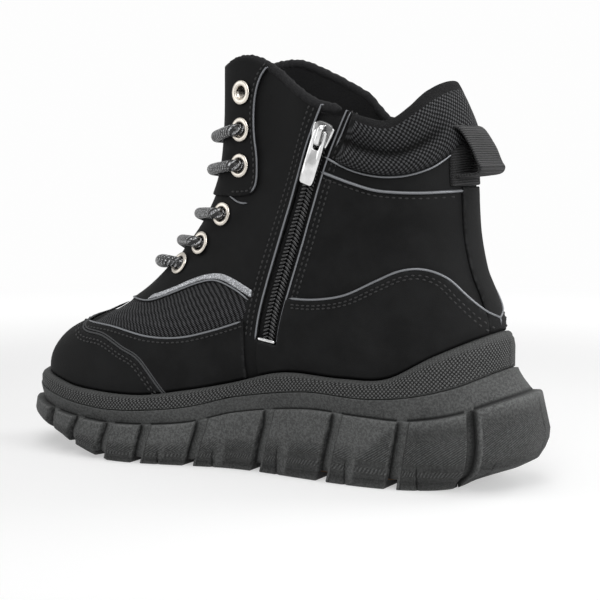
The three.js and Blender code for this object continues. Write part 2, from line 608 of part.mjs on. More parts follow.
// Pull loop: the strip with a fold of webbing that hangs out from its head and returns to its foot
function pullLoop() {
  const back = shell(0, 0.78, GAP).x;
  const half = WEBBING_WIDTH / 2;
  const foot = sideZ(LOOP_FOOT);
  const head = sideZ(LOOP_HEAD) - WEBBING;
  const tip = [back + LOOP_REACH, foot + 3];
  const inset = WEBBING * 1.15;
  const outer = [corner(back - 9, head), corner(back + 2, head), corner(tip[0], tip[1] + 1.5),
    corner(tip[0] - 1, tip[1] - 1.5), corner(back, foot), corner(back - 9, foot)];
  const hollow = [corner(back - 20, head - inset), corner(back + 1, head - inset * 1.6),
    corner(tip[0] - inset * 1.4, tip[1] + 0.6), corner(back, foot + inset),
    corner(back - 20, foot + inset)];
  const fold = sidePrism(outer, -half, half).subtract(sidePrism(hollow, -FAR, FAR));
  const inside = skin(RINGS.filter((v) => v > 0.5).map((v) => shellRing(v, GAP)));
  return webbingStrip().add(fold.subtract(inside))
    .intersect(box(0, FAR, -half, half, foot, FAR));
}

const zipTape = () => wall(-WALL - GAP - TAPE, -WALL - GAP, 0.2, 0.985)
  .intersect(zipStrip(TAPE_WIDTH));
const zipChain = () => wall(-WALL, -GAP, 0.22, 0.98).intersect(zipStrip(CHAIN_WIDTH));

// Frame on the zip at the slider: +X down the chain, +Z outward
const sliderOut = outward(sliderPlace.s, sliderPlace.level);
const pullEnd = locate(PULL_END_AT);
const sliderSpot = shell(sliderPlace.s, sliderPlace.level, GAP);
const down = shell(pullEnd.s, pullEnd.level, 0).sub(sliderSpot).normalize();
const acrossZip = sliderOut.clone().cross(down).normalize();
const zipFrame = new THREE.Matrix4().makeBasis(down, acrossZip, down.clone().cross(acrossZip))
  .setPosition(sliderSpot);

// Plate with this outline, from height to height in the zip's frame
function plate(points, low, high, hole = []) {
  const shape = new THREE.Shape(points.map(([x, y]) => corner(x, y)));
  if (hole.length) shape.holes.push(new THREE.Path(hole.map(([x, y]) => corner(x, y))));
  return fromGeometry(new THREE.ExtrudeGeometry(shape, { depth: high - low, bevelEnabled: false }),
    new THREE.Matrix4().makeTranslation(0, 0, low));
}

// The square crossbar of the tab turns inside the bridge
const BRIDGE_ROOM = PULL_PLATE * Math.SQRT2 + 2 * GAP;
const bridgeLow = SLIDER_PLATE + BRIDGE_ROOM;
function zipSlider() {
  const front = -SLIDER_LENGTH / 2;
  const half = SLIDER_WIDTH / 2;
  const shield = [[front, -half * 0.55], [front + 1.6, -half], [front + 5, -half], [-front, -half * 0.62],
    [-front, half * 0.62], [front + 5, half], [front + 1.6, half], [front, half * 0.55]];
  const inner = 0.6 + BRIDGE_METAL * 1.3;
  const arch = [[front + 0.6, 0], [front + 1.2, bridgeLow + BRIDGE_METAL * 0.5],
    [front + 2.4, bridgeLow + BRIDGE_METAL], [-front - 2.4, bridgeLow + BRIDGE_METAL],
    [-front - 1.2, bridgeLow + BRIDGE_METAL * 0.5], [-front - 0.6, 0], [-front - inner, 0],
    [-front - inner, SLIDER_PLATE + 0.6], [-front - 3.4, bridgeLow], [front + 3.4, bridgeLow],
    [front + inner, SLIDER_PLATE + 0.6], [front + inner, 0]];
  const bridge = sidePrism(arch.map(([x, z]) => corner(x, z)), -BRIDGE_WIDTH / 2, BRIDGE_WIDTH / 2);
  return plate(shield, 0, SLIDER_PLATE).add(bridge);
}

// Pull tab about its own crossbar, which lies in the bridge
function zipPull() {
  const half = PULL_WIDTH / 2;
  const slot = BRIDGE_WIDTH / 2 + GAP;
  const top = -PULL_PLATE / 2;
  const tab = [[top, -half + 0.6], [top + 0.6, -half], [PULL_LENGTH - 1, -half],
    [PULL_LENGTH, -half + 1], [PULL_LENGTH, half - 1], [PULL_LENGTH - 1, half],
    [top + 0.6, half], [top, half - 0.6]];
  const hole = [[PULL_PLATE / 2, -slot], [PULL_PLATE / 2, slot], [SLIDER_LENGTH * 0.72, slot],
    [SLIDER_LENGTH * 0.72, -slot]];
  return plate(tab, -PULL_PLATE / 2, PULL_PLATE / 2, hole);
}
const PULL_HINGE = [-SLIDER_LENGTH / 2 + 4.2, 0, SLIDER_PLATE + BRIDGE_ROOM / 2];

// Eyelet about +Y: a barrel through the wall and a domed flange on it
function eyelet(base) {
  const bore = EYELET_BORE / 2;
  const flange = EYELET_FLANGE / 2;
  const foot = -WALL - GAP;
  const profile = [[bore, foot], [bore + EYELET_METAL, foot], [bore + EYELET_METAL, base], [flange, base],
    [(bore + flange) / 2, base + EYELET_RIM], [bore, base + EYELET_METAL], [bore, foot]];
  return new THREE.LatheGeometry(profile.map(([r, h]) => corner(r, h)), EYELET_SIDES);
}

// Round cord along points, one facet ring each
function cord(points) {
  const round = new THREE.Shape();
  round.absarc(0, 0, LACE_DIAMETER / 2, 0, 2 * Math.PI);
  const extrudePath = new THREE.CatmullRomCurve3(points);
  const geometry = new THREE.ExtrudeGeometry(round, {
    steps: LACE_STEPS, curveSegments: LACE_ARC, extrudePath, bevelEnabled: false });
  return fromGeometry(geometry);
}
// Point of a lace over a place of the face, between the tongue and an eyelet's flange
const onTongue = -WALL - TONGUE_GAP + 3 * GAP + LACE_DIAMETER / 2;
const onFlange = (base) => base + EYELET_RIM + 2 * GAP + LACE_DIAMETER / 2;
function laceCrossing(row) {
  const [a, b, c, d] = eyeletPlaces.slice(2 * row, 2 * row + 4);
  const strand = (from, to) => cord(CROSSING.map(({ across, over }) => shell(
    mix(from.place.s, to.place.s, across), mix(from.place.level, to.place.level, across),
    mix(onTongue, onFlange(from.base), over))));
  return strand(a, d).add(strand(b, c));
}
function laceBar() {
  const { place, base } = eyeletPlaces.at(-2);
  const foot = locate([SECTIONS[0].toeX, BAR_FOOT]).level;
  const side = (sign) => BAR.map(({ inward, down, over }) => shell(
    1 + sign * (1 - place.s) * (1 - inward), mix(place.level, foot, down),
    mix(onTongue, onFlange(base), over)));
  return cord([...side(-1), ...side(1).reverse().slice(1)]);
}

const finish = (color, roughness, metalness = 0) =>
  new THREE.MeshStandardMaterial({ color, roughness, metalness });
const nubuck = finish('#1b1b1d', 0.85);
const meshCloth = finish('#151516', 0.95);
const fleece = finish('#121213', 1);
const soleRubber = finish('#323335', 0.8);
const treadRubber = finish('#6b4a2c', 0.85);
const webbingCloth = finish('#19191a', 0.9);
const zipCoil = finish('#0e0e0f', 0.4);
const zipMetal = finish('#d8d6d0', 0.2, 1);
const eyeletMetal = finish('#b9b3a6', 0.3, 1);
const laceCord = finish('#0d0d0e', 0.55);

// Mesh of a cut solid
function named(name, geometry, material) {
  const mesh = new THREE.Mesh(geometry, material);
  mesh.name = name;
  return mesh;
}
function carved(name, manifold, material) {
  const { vertProperties, triVerts } = manifold.getMesh();
  const geometry = new THREE.BufferGeometry();
  geometry.setAttribute('position', new THREE.BufferAttribute(vertProperties, 3));
  geometry.setIndex(new THREE.BufferAttribute(triVerts, 1));
  return named(name, geometry, material);
}

const boot = new THREE.Group();
boot.add(
  carved('outsole', outsole(), soleRubber),
  carved('tread_plate', treadPlate(), treadRubber),
  carved('midsole', midsole(), soleRubber),
  carved('upper', upper(), nubuck),
  carved('insole', insole(), fleece),
  carved('tongue', tongue(), meshCloth),
  carved('toe_cap', toeCap(), nubuck),
  carved('mudguard_medial', mudguard(MEDIAL), nubuck),
  carved('mudguard_lateral', mudguard(LATERAL), nubuck),
  carved('counter_medial', counter(MEDIAL), nubuck),
  carved('counter_lateral', counter(LATERAL), nubuck),
  carved('eyestay_medial', eyestay(MEDIAL), nubuck),
  carved('eyestay_lateral', eyestay(LATERAL), nubuck),
  carved('backstay', backstay(), nubuck),
  carved('collar_pad', collarPad(), meshCloth),
  carved('pull_loop', pullLoop(), webbingCloth),
  carved('zip_tape', zipTape(), zipCoil),
  carved('zip_chain', zipChain(), zipCoil),
);

const zip = new THREE.Group();
zip.applyMatrix4(zipFrame);
const pull = carved('zip_pull', zipPull(), zipMetal);
pull.position.set(...PULL_HINGE);
zip.add(carved('zip_slider', zipSlider(), zipMetal), pull);
boot.add(zip);

eyeletPlaces.forEach(({ name, place, base }) => {
  const mesh = named(name, eyelet(base), eyeletMetal);
  mesh.applyMatrix4(onFace(place));
  boot.add(mesh);
});
[1, 2, 3, 4].forEach((row) => boot.add(carved(`lace_${row}`, laceCrossing(row), laceCord)));
boot.add(carved('lace_5', laceBar(), laceCord));

// Origin under the middle of the whole boot, on the floor
const whole = new THREE.Box3().setFromObject(boot);
boot.position.set(-(whole.min.x + whole.max.x) / 2, -(whole.min.y + whole.max.y) / 2, -whole.min.z);

export default boot;
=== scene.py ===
"""Ankle boot, right shoe: the looks of the boot around its fixed frame.

Lengths in the tables are shares of the named sizes, in the boot's own frame in millimetres: toe
towards -X, medial (zip) side towards -Y, +Z up, standing on z = 0.
"""
import math
import bpy
import numpy as np
from mathutils import Matrix, Vector


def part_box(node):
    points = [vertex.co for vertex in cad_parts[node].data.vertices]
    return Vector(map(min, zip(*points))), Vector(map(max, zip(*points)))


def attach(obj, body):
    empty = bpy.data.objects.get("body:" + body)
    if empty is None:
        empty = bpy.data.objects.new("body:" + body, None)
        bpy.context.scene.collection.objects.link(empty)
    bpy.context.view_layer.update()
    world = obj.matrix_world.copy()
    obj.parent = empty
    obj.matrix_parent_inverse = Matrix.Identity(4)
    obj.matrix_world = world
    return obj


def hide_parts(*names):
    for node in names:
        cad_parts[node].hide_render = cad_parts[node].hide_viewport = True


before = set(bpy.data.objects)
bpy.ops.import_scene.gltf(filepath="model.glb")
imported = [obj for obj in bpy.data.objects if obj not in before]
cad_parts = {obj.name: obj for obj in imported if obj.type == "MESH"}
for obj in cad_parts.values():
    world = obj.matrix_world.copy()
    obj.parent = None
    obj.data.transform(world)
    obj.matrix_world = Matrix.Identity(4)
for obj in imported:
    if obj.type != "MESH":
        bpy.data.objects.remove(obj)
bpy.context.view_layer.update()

bl_info = {
    "name": "Ankle Boot",
    "version": (1, 0, 0),
    "blender": (4, 5, 0),
    "location": "View3D > Sidebar > Boot",
    "description": "Builds the surfaces and finishes of a laced ankle boot with a side zip",
    "category": "Add Mesh",
}

# The boot's named sizes in millimetres, as in the part's own source
UPPER_LENGTH, UPPER_HEIGHT = 247.0, 164.0
HEEL_WIDTH, WAIST_WIDTH, BALL_WIDTH = 69.0, 66.0, 82.0
TOE_SWING, OUTER_SWELL = 5.0, 5.5
WALL, OVERLAY, RECESS, GAP = 2.4, 1.2, 0.9, 0.3
THROAT_LOW, THROAT_HIGH, THROAT_FOOT, THROAT_STEP = 22.0, 29.0, 44.0, (62.0, 66.0)
TONGUE_THICKNESS, TONGUE_WIDTH, TONGUE_GAP = 4.5, 42.0, 0.9
INSOLE_THICKNESS, BACKSTAY_WIDTH = 3.5, 17.0
SOLE_LIFT, SOLE_SPREAD, LUG_DEPTH, TREAD_DEPTH, TREAD_CHANNEL = 26.0, 10.0, 4.2, 5.0, 30.0
GROOVE_WIDTH, CUP_RIM, CUP_SIDE, CUP_SEAT, CUP_WALL, FOOTBED = 5.2, 4.2, 5.8, 2.6, 1.6, 4.5
PAD_THICKNESS, PAD_RISE = 5.0, 3.2
WEBBING_WIDTH, WEBBING, LOOP_REACH, LOOP_FOOT, LOOP_HEAD = 28.0, 1.5, 15.0, 65.8, 83.0
EYELET_FLANGE, EYELET_BORE, EYELET_METAL, EYELET_RIM, EYELET_SEAT = 11.4, 6.2, 0.5, 0.8, 0.6
SLIT_WIDTH, TAPE_WIDTH, TAPE = 12.0, 18.0, 0.8
SLIDER_LENGTH, SLIDER_WIDTH, SLIDER_PLATE = 12.0, 9.4, 1.6
BRIDGE_WIDTH, BRIDGE_METAL, HINGE_FROM_FRONT = 2.6, 1.1, 4.2
TOOTH_LONG, TOOTH_THICK, TOOTH_ASIDE, TOOTH_SUNK = 2.0, 0.72, 1.75, 1.05
FOOT_BAR_REACH, FOOT_BAR_RADIUS, FOOT_BAR_OUT = 4.6, 0.85, 0.35
PULL_LENGTH, PULL_WIDTH, PULL_PLATE = 25.0, 7.0, 1.4
BRIDGE_ROOM = PULL_PLATE * math.sqrt(2) + 2 * GAP
FEATHER = 0.12
SOLID_COLUMNS = 28

SECTIONS = """level toeX toeZ heelX heelZ heelHalf waistHalf ballHalf toeRound heelRound
0.00 -48.5  0.0 46.2 11.0 43.5 41.0 45.0 38 43
0.12 -50.1  7.9 47.4 26.8 50.0 47.7 50.0 40 43
0.20 -49.7 13.4 47.0 31.1 50.7 50.0 49.4 37 43
0.28 -46.5 18.9 45.7 36.6 49.3 50.0 46.3 34 43
0.36 -40.4 23.5 44.1 42.1 47.8 50.0 43.3 32 42
0.44 -33.9 28.0 43.1 47.6 46.4 50.0 40.2 31 42
0.52 -27.6 33.8 42.5 53.0 45.6 50.0 37.8 31 41
0.60 -22.2 40.8 42.2 58.5 44.9 50.0 35.4 31 41
0.68 -17.1 48.5 42.0 64.0 45.0 50.5 34.4 31 41
0.76 -13.0 56.7 41.7 69.8 45.8 51.0 33.4 32 41
0.84  -9.9 67.1 41.5 76.2 47.8 52.7 32.5 32 41
0.92  -8.7 80.5 41.1 83.5 50.7 54.5 31.7 32 41
1.00  -8.5 98.2 39.3 92.7 50.7 54.5 30.5 32 41"""
SEAT_LINE = """along lift
0 0
0.16 0
0.31 0.4
0.41 -0.4
0.56 -3.7
0.71 -5.5
0.86 -4
1 0"""
FEATHER_LINE = """along lift
0 0
0.08 -4.3
0.16 -9.1
0.25 -8.2
0.38 -5.5
0.5 -7.6
0.6 -8.8
0.7 -9.1
0.85 -5.8
0.93 -2.4
1 0"""
COLLAR_LINE = """along lift
0 0
0.1 -6.7
0.17 -10.7
0.22 -11
0.34 -8.2
0.45 -7
0.56 -3.4
0.67 0.8
0.78 3.8
0.87 3.5
1 0"""
SOLE = """along floor lugTop bandLow tread knee brow shoulder ledge
0.00 0 166 203 -130 190 235 190 120
0.05 0 135 178 -20 120 145 120 85
0.12 0 120 160 30 65 78 72 65
0.20 0 122 153 40 60 72 68 62
0.32 0 126 156 30 55 65 62 58
0.48 0 107 135 15 45 58 56 56
0.60 0 80 108 35 65 75 70 60
0.75 0 71 95 60 85 92 84 66
0.85 20 76 101 45 82 94 86 66
0.93 39 86 114 10 76 94 86 64
1.00 50 96 126 -25 68 92 84 60"""
KNEE_HEIGHT, BROW_HEIGHT, FLAT_SPRING = 0.28, 0.55, 0.76

# How far the soft collar sags on the lateral side and leans in over the heel, millimetres
COLLAR_SAG, COLLAR_NOD = 6.0, 4.0

# Grooves between the lugs: x at their top and at the tread, hundredths of UPPER_LENGTH
GROOVES = [(-42.0, -43.1), (-34.1, -37.0), (-26.2, -28.7), (-17.8, -20.1), (-6.6, -9.6),
           (7.8, 3.8), (22.6, 18.8), (35.5, 33.1), (48.7, 48.4)]
TOE_GROOVE_ANGLES, TOE_GROOVE_CENTRE, CHANNEL_ENDS = (-20, 20), -33, (-43.8, 45)

# Side lines, hundredths: x of UPPER_LENGTH, z of UPPER_HEIGHT above SOLE_LIFT
TOE_CAP_EDGE = [(-42, 27), (-38, 20.7), (-30.8, 19.5), (-25.3, 16.5), (-20.6, 13.4), (-15, 4)]
WINDOW_LOW = [(-38, 22.6), (-29, 22.6), (-19.3, 20.9), (-12.1, 21.3), (-5.3, 23.8), (1.6, 27.2)]
WINDOW_HIGH = [(2.6, 33.2), (-0.4, 36), (-5.1, 38.2), (-9.7, 37), (-16.6, 33.2), (-21.5, 31.1),
               (-28, 31), (-35, 29.5)]
COUNTER_ARCH = [(11.7, 34.4), (17, 34.4), (23.1, 36), (29.1, 40.2), (33.2, 43), (37, 43.6),
                (40.4, 41.5), (43.6, 36.5), (48.5, 28)]
EYESTAY_EDGE = [(5.7, 99), (3.6, 95.7), (2.4, 89.6), (2.3, 81.1), (3.1, 72.6), (3.1, 65.9),
                (1.6, 62.9), (-3, 62.2)]
PAD_FRONT = [(18.5, 64), (21.6, 75), (24.2, 84), (27.4, 96)]
ZIP_LINE = [(21.6, 88.5), (15.9, 67.4), (11.7, 49.4), (7.8, 31.1), (6.6, 21.5)]
SEAM_FOOT = (2.1, 8)
SLIDER_AT, PULL_END_AT = (19.1, 79.5), (14.2, 60)
EYELETS = [(-0.7, 91.6), (-0.8, 81.1), (-0.8, 70.9), (-5.2, 57.0), (-10.3, 48.4), (-15.2, 42.2)]

# Lines of the trim, hundredths as above
STRIP_HIGH = [(-31.3, 29.8), (-26.8, 31.2), (-20.8, 32.9), (-15.8, 35.3), (-11.3, 38), (-7.7, 39.7),
              (-4, 40.2), (-0.4, 38.7), (3.4, 36)]
STRIP_LOW = [(-31.3, 29.2), (-26.3, 30.2), (-20.2, 31.9), (-15.3, 34.3), (-10.8, 36.9), (-7.4, 38.3),
             (-3.8, 38.4), (-0.6, 36.6), (3.2, 33.9)]
TOP_EDGE = [(18.6, 69.6), (20.8, 68.4), (24.4, 66.5), (29, 64.6), (35.3, 64), (40, 64.3), (43.6, 64.8)]
PAD_SEAM = [(19.4, 73.7), (21.7, 71.9), (24.6, 70), (28, 68.7), (31.2, 68.3), (34.5, 68.8), (37.4, 70.4),
            (39.2, 72.5), (40.6, 75.1)]
PAD_BORDER = [(21.7, 76.3), (23, 80.5), (24.3, 85.5)]
FACING_ARC = [(-5.4, 65), (-3.9, 62.9), (-2.3, 61.3), (-0.7, 60.4), (0.9, 60.4)]
# Piping: its line, how far it lies out of the face in millimetres, and its share of the cord's radius
PIPING = [(COUNTER_ARCH, 1.45, 1), (WINDOW_LOW, 1.4, 0.9), (EYESTAY_EDGE[:-1], 1.45, 0.9),
          (WINDOW_HIGH, 0.15, 0.8), (TOP_EDGE, 0.5, 1.3), (PAD_SEAM, 0.75, 1), (PAD_BORDER, 0.8, 0.7),
          (FACING_ARC, 0.35, 0.9)]
# Stitch rows on the panels and beside the zip: their line and how far they lie beside it
STITCHES = [(COUNTER_ARCH, 2.8), (COUNTER_ARCH, 4.3), (WINDOW_LOW, 2.2), (TOE_CAP_EDGE, 2.4),
            (TOE_CAP_EDGE, 4.0), (EYESTAY_EDGE, 1.9)]
TOP_EDGE_STITCH, ZIP_STITCHES = 2.4, (9.0, 11.5, -8.4, -10.6)


def curves(text):
    """Smooth curve through each column of a table against its first one: cubic pieces whose slope
    at a row is that of the line between its two neighbours."""
    head, *lines = text.split("\n")
    rows = np.array([line.split() for line in lines], float)
    x = rows[:, 0]
    last = len(x) - 1
    low, high = np.maximum(0, np.arange(len(x)) - 1), np.minimum(last, np.arange(len(x)) + 1)

    def column(y):
        slope = (y[high] - y[low]) / (x[high] - x[low])

        def value(q):
            c = np.clip(q, x[0], x[last])
            k = np.clip(np.searchsorted(x, c) - 1, 0, last - 1)
            h = x[k + 1] - x[k]
            t = (c - x[k]) / h
            rise = t * (1 - t) * ((1 - t) * slope[k] - t * slope[k + 1])
            return y[k] + (y[k + 1] - y[k]) * t * t * (3 - 2 * t) + h * rise
        return value
    return {name: column(rows[:, i]) for i, name in enumerate(head.split())}


section, sole = curves(SECTIONS), curves(SOLE)
seat_lift, feather_lift, collar_lift = (curves(t)["lift"] for t in (SEAT_LINE, FEATHER_LINE, COLLAR_LINE))


def side_x(share):
    return np.asarray(share) / 100 * UPPER_LENGTH


def side_z(share):
    return SOLE_LIFT + np.asarray(share) / 100 * UPPER_HEIGHT


def mix(a, b, t):
    return a + (b - a) * t


def smooth(t):
    c = np.clip(t, 0, 1)
    return c * c * (3 - 2 * c)


def unit(v):
    return v / np.maximum(np.linalg.norm(v, axis=-1, keepdims=True), 1e-9)


def run_length(line):
    """Distance along a line from its first point to each of its points."""
    return np.concatenate([[0], np.cumsum(np.linalg.norm(np.diff(line, axis=0), axis=1))])


def flat_to(n, run):
    """Directions made square to the run: n - (n . run) run, at unit length."""
    return unit(n - (n * run).sum(-1, keepdims=True) * run)


def along(s):
    """Share of the way from heel to toe at a place round a ring: 0 heel, 1 toe by the medial side."""
    return (1 - np.cos(np.pi * s)) / 2


def length_of(level):
    return side_x(section["heelX"](level)) - side_x(section["toeX"](level))


def lift(t, level):
    """Height that a ring gains at this place: the feather line's near the sole, the collar line's
    near the top."""
    low = np.where(level < FEATHER, mix(seat_lift(t), feather_lift(t), level / FEATHER),
                   feather_lift(t) * (1 - smooth((level - FEATHER) / 0.38)))
    return (low + collar_lift(t) * smooth((level - 0.55) / 0.45)) / 100 * UPPER_HEIGHT


def half_width(t, level, lateral):
    """Half width of a ring: three widths blended along it, closed by a round end at heel and toe."""
    heel = section["heelHalf"](level) / 100 * HEEL_WIDTH
    waist = section["waistHalf"](level) / 100 * WAIST_WIDTH
    ball = section["ballHalf"](level) / 100 * BALL_WIDTH
    width = np.where(t < 0.48, mix(heel, waist, smooth((t - 0.18) / 0.3)),
                     mix(waist, ball, smooth((t - 0.48) / 0.27)))
    fade = (1 - smooth(level / 0.5)) * smooth(t / 0.4) * (1 - smooth((t - 0.75) / 0.25))
    toe = 2 * section["toeRound"](level) / 100 * BALL_WIDTH * length_of(level) / ball ** 2
    back = 2 * section["heelRound"](level) / 100 * HEEL_WIDTH * length_of(level) / heel ** 2
    t = np.clip(t, 0, 1)
    return (width + lateral * OUTER_SWELL * fade) * np.sqrt(1 - t ** toe) * np.sqrt(1 - (1 - t) ** back)


def face(s, level):
    """Point of the upper's outer face at a place s round the ring of a level."""
    s, level = np.broadcast_arrays(np.asarray(s, float), np.asarray(level, float))
    t = along(s)
    lateral = np.sin(np.pi * s) < 0
    x = mix(side_x(section["heelX"](level)), side_x(section["toeX"](level)), t)
    z = side_z(mix(section["heelZ"](level), section["toeZ"](level), t)) + lift(t, level)
    swing = -TOE_SWING * t ** 3 * (1 - smooth(level / 0.55))
    z = z - (COLLAR_SAG * lateral * smooth((level - 0.7) / 0.3) * smooth((t - 0.1) / 0.15)
             * smooth((0.56 - t) / 0.14))
    x = x - COLLAR_NOD * smooth((level - 0.82) / 0.18) * (1 - smooth(t / 0.18))
    return np.stack([x, np.where(lateral, 1, -1) * half_width(t, level, lateral) + swing, z], -1)


def outward(s, level, step=0.004):
    """Outward direction of that face: the cross product of its two tangents."""
    s, level = np.broadcast_arrays(np.asarray(s, float), np.asarray(level, float))
    round_it = face(s + step, level) - face(s - step, level)
    up = face(s, np.minimum(1, level + step)) - face(s, np.maximum(0, level - step))
    return unit(np.cross(up, round_it))


def shell(s, level, d, rise=0.0):
    """The same face moved out by d along its outward direction, and up by rise."""
    p = face(s, level) + outward(s, level) * (np.asarray(d, float) + 0 * np.asarray(s, float))[..., None]
    p[..., 2] += rise
    return p


def locate(line, lateral=False):
    """Place round the ring and level of side points in hundredths, by halving the level."""
    x, z = np.asarray(line, float).T

    def place(level):
        t = (side_x(section["heelX"](level)) - side_x(x)) / length_of(level)
        return np.arccos(1 - 2 * np.clip(t, 0, 1)) / np.pi
    low, high = np.zeros(x.shape), np.ones(x.shape)
    for _ in range(30):
        level = (low + high) / 2
        below = face(place(level), level)[..., 2] < side_z(z)
        low, high = np.where(below, level, low), np.where(below, high, level)
    s = place(low)
    return (2 - s if lateral else s), low


def outline(s, spread, z, step=0.004):
    """Point round the sole: the feather line's plan moved straight out by spread, at height z."""
    run = face(s + step, FEATHER) - face(s - step, FEATHER)
    out = unit(np.stack([-run[..., 1], run[..., 0], 0 * run[..., 0]], -1))
    p = face(s, FEATHER) + out * (np.asarray(spread, float) + 0 * np.asarray(s, float))[..., None]
    p[..., 2] = z
    return p


def part_shift():
    """From the boot's own frame to the part's: the insole's ring, as coarse as its solid, lies in
    the middle of that solid's box."""
    s = np.arange(SOLID_COLUMNS) * 2 / SOLID_COLUMNS
    ring = face(s, 0.0) + (outline(s, 1, 0) - outline(s, 0, 0)) * (-WALL - 2 * GAP)
    low, high = (np.array(corner) * 1000 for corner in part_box("insole"))
    shift = (low + high) / 2 - (ring.min(0) + ring.max(0)) / 2
    return np.array([shift[0], shift[1], 0])


SHIFT = part_shift()


def spline(points, step=1.0):
    """Smooth line through points: cubic pieces that leave each point along the line between its
    neighbours, sampled at even steps of its length."""
    p = np.asarray(points, float)
    q = np.concatenate([p[:1], p, p[-1:]])
    t = np.linspace(0, 1, 24, endpoint=False)[:, None]
    a, b, c, d = (q[i:len(q) - 3 + i, None] for i in range(4))
    t = t[None]
    v0, v1 = (c - a) / 2, (d - b) / 2
    line = ((2 * b - 2 * c + v0 + v1) * t ** 3 + (3 * c - 3 * b - 2 * v0 - v1) * t ** 2 + v0 * t + b)
    line = np.concatenate([line.reshape(-1, p.shape[1]), p[-1:]])
    return even(line, step)


def even(line, step):
    """The same line with its points at even steps of its length."""
    far = run_length(line)
    count = max(2, int(round(far[-1] / step)) + 1)
    at = np.linspace(0, far[-1], count)
    return np.stack([np.interp(at, far, line[:, k]) for k in range(line.shape[1])], -1)


def side_line(points, step=1.0):
    """Side line in millimetres from its points in hundredths."""
    p = np.asarray(points, float)
    return spline(np.stack([side_x(p[:, 0]), side_z(p[:, 1])], -1), step)


def beside(line, distance):
    """Side line moved across by a distance, to the right of its run."""
    run = unit(np.gradient(line, axis=0))
    return line + np.stack([run[:, 1], -run[:, 0]], -1) * distance


def on_side(line, lateral=False):
    """Places (s, level) of a side line in millimetres."""
    share = np.stack([line[:, 0] / UPPER_LENGTH * 100, (line[:, 1] - SOLE_LIFT) / UPPER_HEIGHT * 100], -1)
    return locate(share, lateral)


def within(polygon):
    """Field of a side outline: distance to its edge in the side plane, positive inside."""
    a = np.asarray(polygon, float)
    e = np.roll(a, -1, 0) - a

    def field(p):
        q = p.reshape(-1, 3)[:, None, ::2]
        t = np.clip(((q - a) * e).sum(-1) / np.maximum((e * e).sum(-1), 1e-9), 0, 1)
        far = np.linalg.norm(q - a - t[..., None] * e, axis=-1).min(1)
        x, z = q[..., 0], q[..., 1]
        over = (a[:, 1] > z) != (a[:, 1] + e[:, 1] > z)
        cross = a[:, 0] + e[:, 0] * (z - a[:, 1]) / np.where(e[:, 1] == 0, 1e-9, e[:, 1])
        odd = (over & (x < cross)).sum(1) % 2
        return np.where(odd == 1, far, -far).reshape(p.shape[:-1])
    return field


def band(line, width):
    """Side outline of a strip of this width along a line."""
    return np.concatenate([beside(line, width / 2), beside(line, -width / 2)[::-1]])


def throat_field(p):
    """Distance outside the throat's slot, seen from the front: a round foot, then wider."""
    y, z = p[..., 1], p[..., 2]
    foot, step = side_z(THROAT_FOOT), side_z(THROAT_STEP)
    half = np.interp(z, step, [THROAT_LOW / 2, THROAT_HIGH / 2])
    f = np.where(z > foot, np.abs(y) - half, np.hypot(y, z - foot) - THROAT_LOW / 2)
    return np.where(p[..., 0] < 0, f, FAR)


FAR = 300.0
ZIP = side_line(ZIP_LINE, 1.0)
window_outline = np.concatenate([side_line(WINDOW_LOW), side_line(WINDOW_HIGH)])
in_window = within(window_outline)
in_slit = within(band(ZIP, SLIT_WIDTH))


def eyelet_places():
    """Place, level and seat height of every eyelet, medial then lateral, from the top down."""
    rows = []
    for lateral in (False, True):
        s, level = locate(EYELETS, lateral)
        for i, (_, z) in enumerate(EYELETS):
            seat = EYELET_SEAT + (GAP + OVERLAY if z > THROAT_STEP[1] else 0)
            rows.append((f"eyelet_{'lateral' if lateral else 'medial'}_{i + 1}", s[i], level[i], seat))
    return rows


PLACES = eyelet_places()


def eyelet_field(p):
    """Distance outside the holes of the eyelets, measured from their axes."""
    best = np.full(p.shape[:-1], FAR)
    for _, s, level, _ in PLACES:
        centre, n = face(s, level), outward(s, level)
        v = p - centre
        h = v @ n
        r = np.linalg.norm(v - h[..., None] * n, axis=-1)
        best = np.minimum(best, np.where(np.abs(h) < 8, r - EYELET_BORE / 2 - EYELET_METAL - 0.2, FAR))
    return best


# Mesh making

def grid_faces(rows, columns, closed=False):
    """Faces of a grid whose rows run up the form and columns round it, facing out."""
    j = np.arange(columns if closed else columns - 1)
    i = np.arange(rows - 1)[:, None]
    a, b = i * columns + j, i * columns + (j + 1) % columns
    return np.stack([a, a + columns, b + columns, b], -1).reshape(-1, 4)


def ring_cap(columns, base, turned):
    """Faces that close a ring straight across, from each place to its like on the other side."""
    j = np.arange(columns // 2)
    quads = np.stack([j, j + 1, (columns - j - 1) % columns, (columns - j) % columns], -1) + base
    return quads[:, ::-1] if turned else quads


def halves(faces):
    """Triangles of quads."""
    return faces if faces.shape[1] == 3 else np.concatenate([faces[:, [0, 1, 2]], faces[:, [0, 2, 3]]])


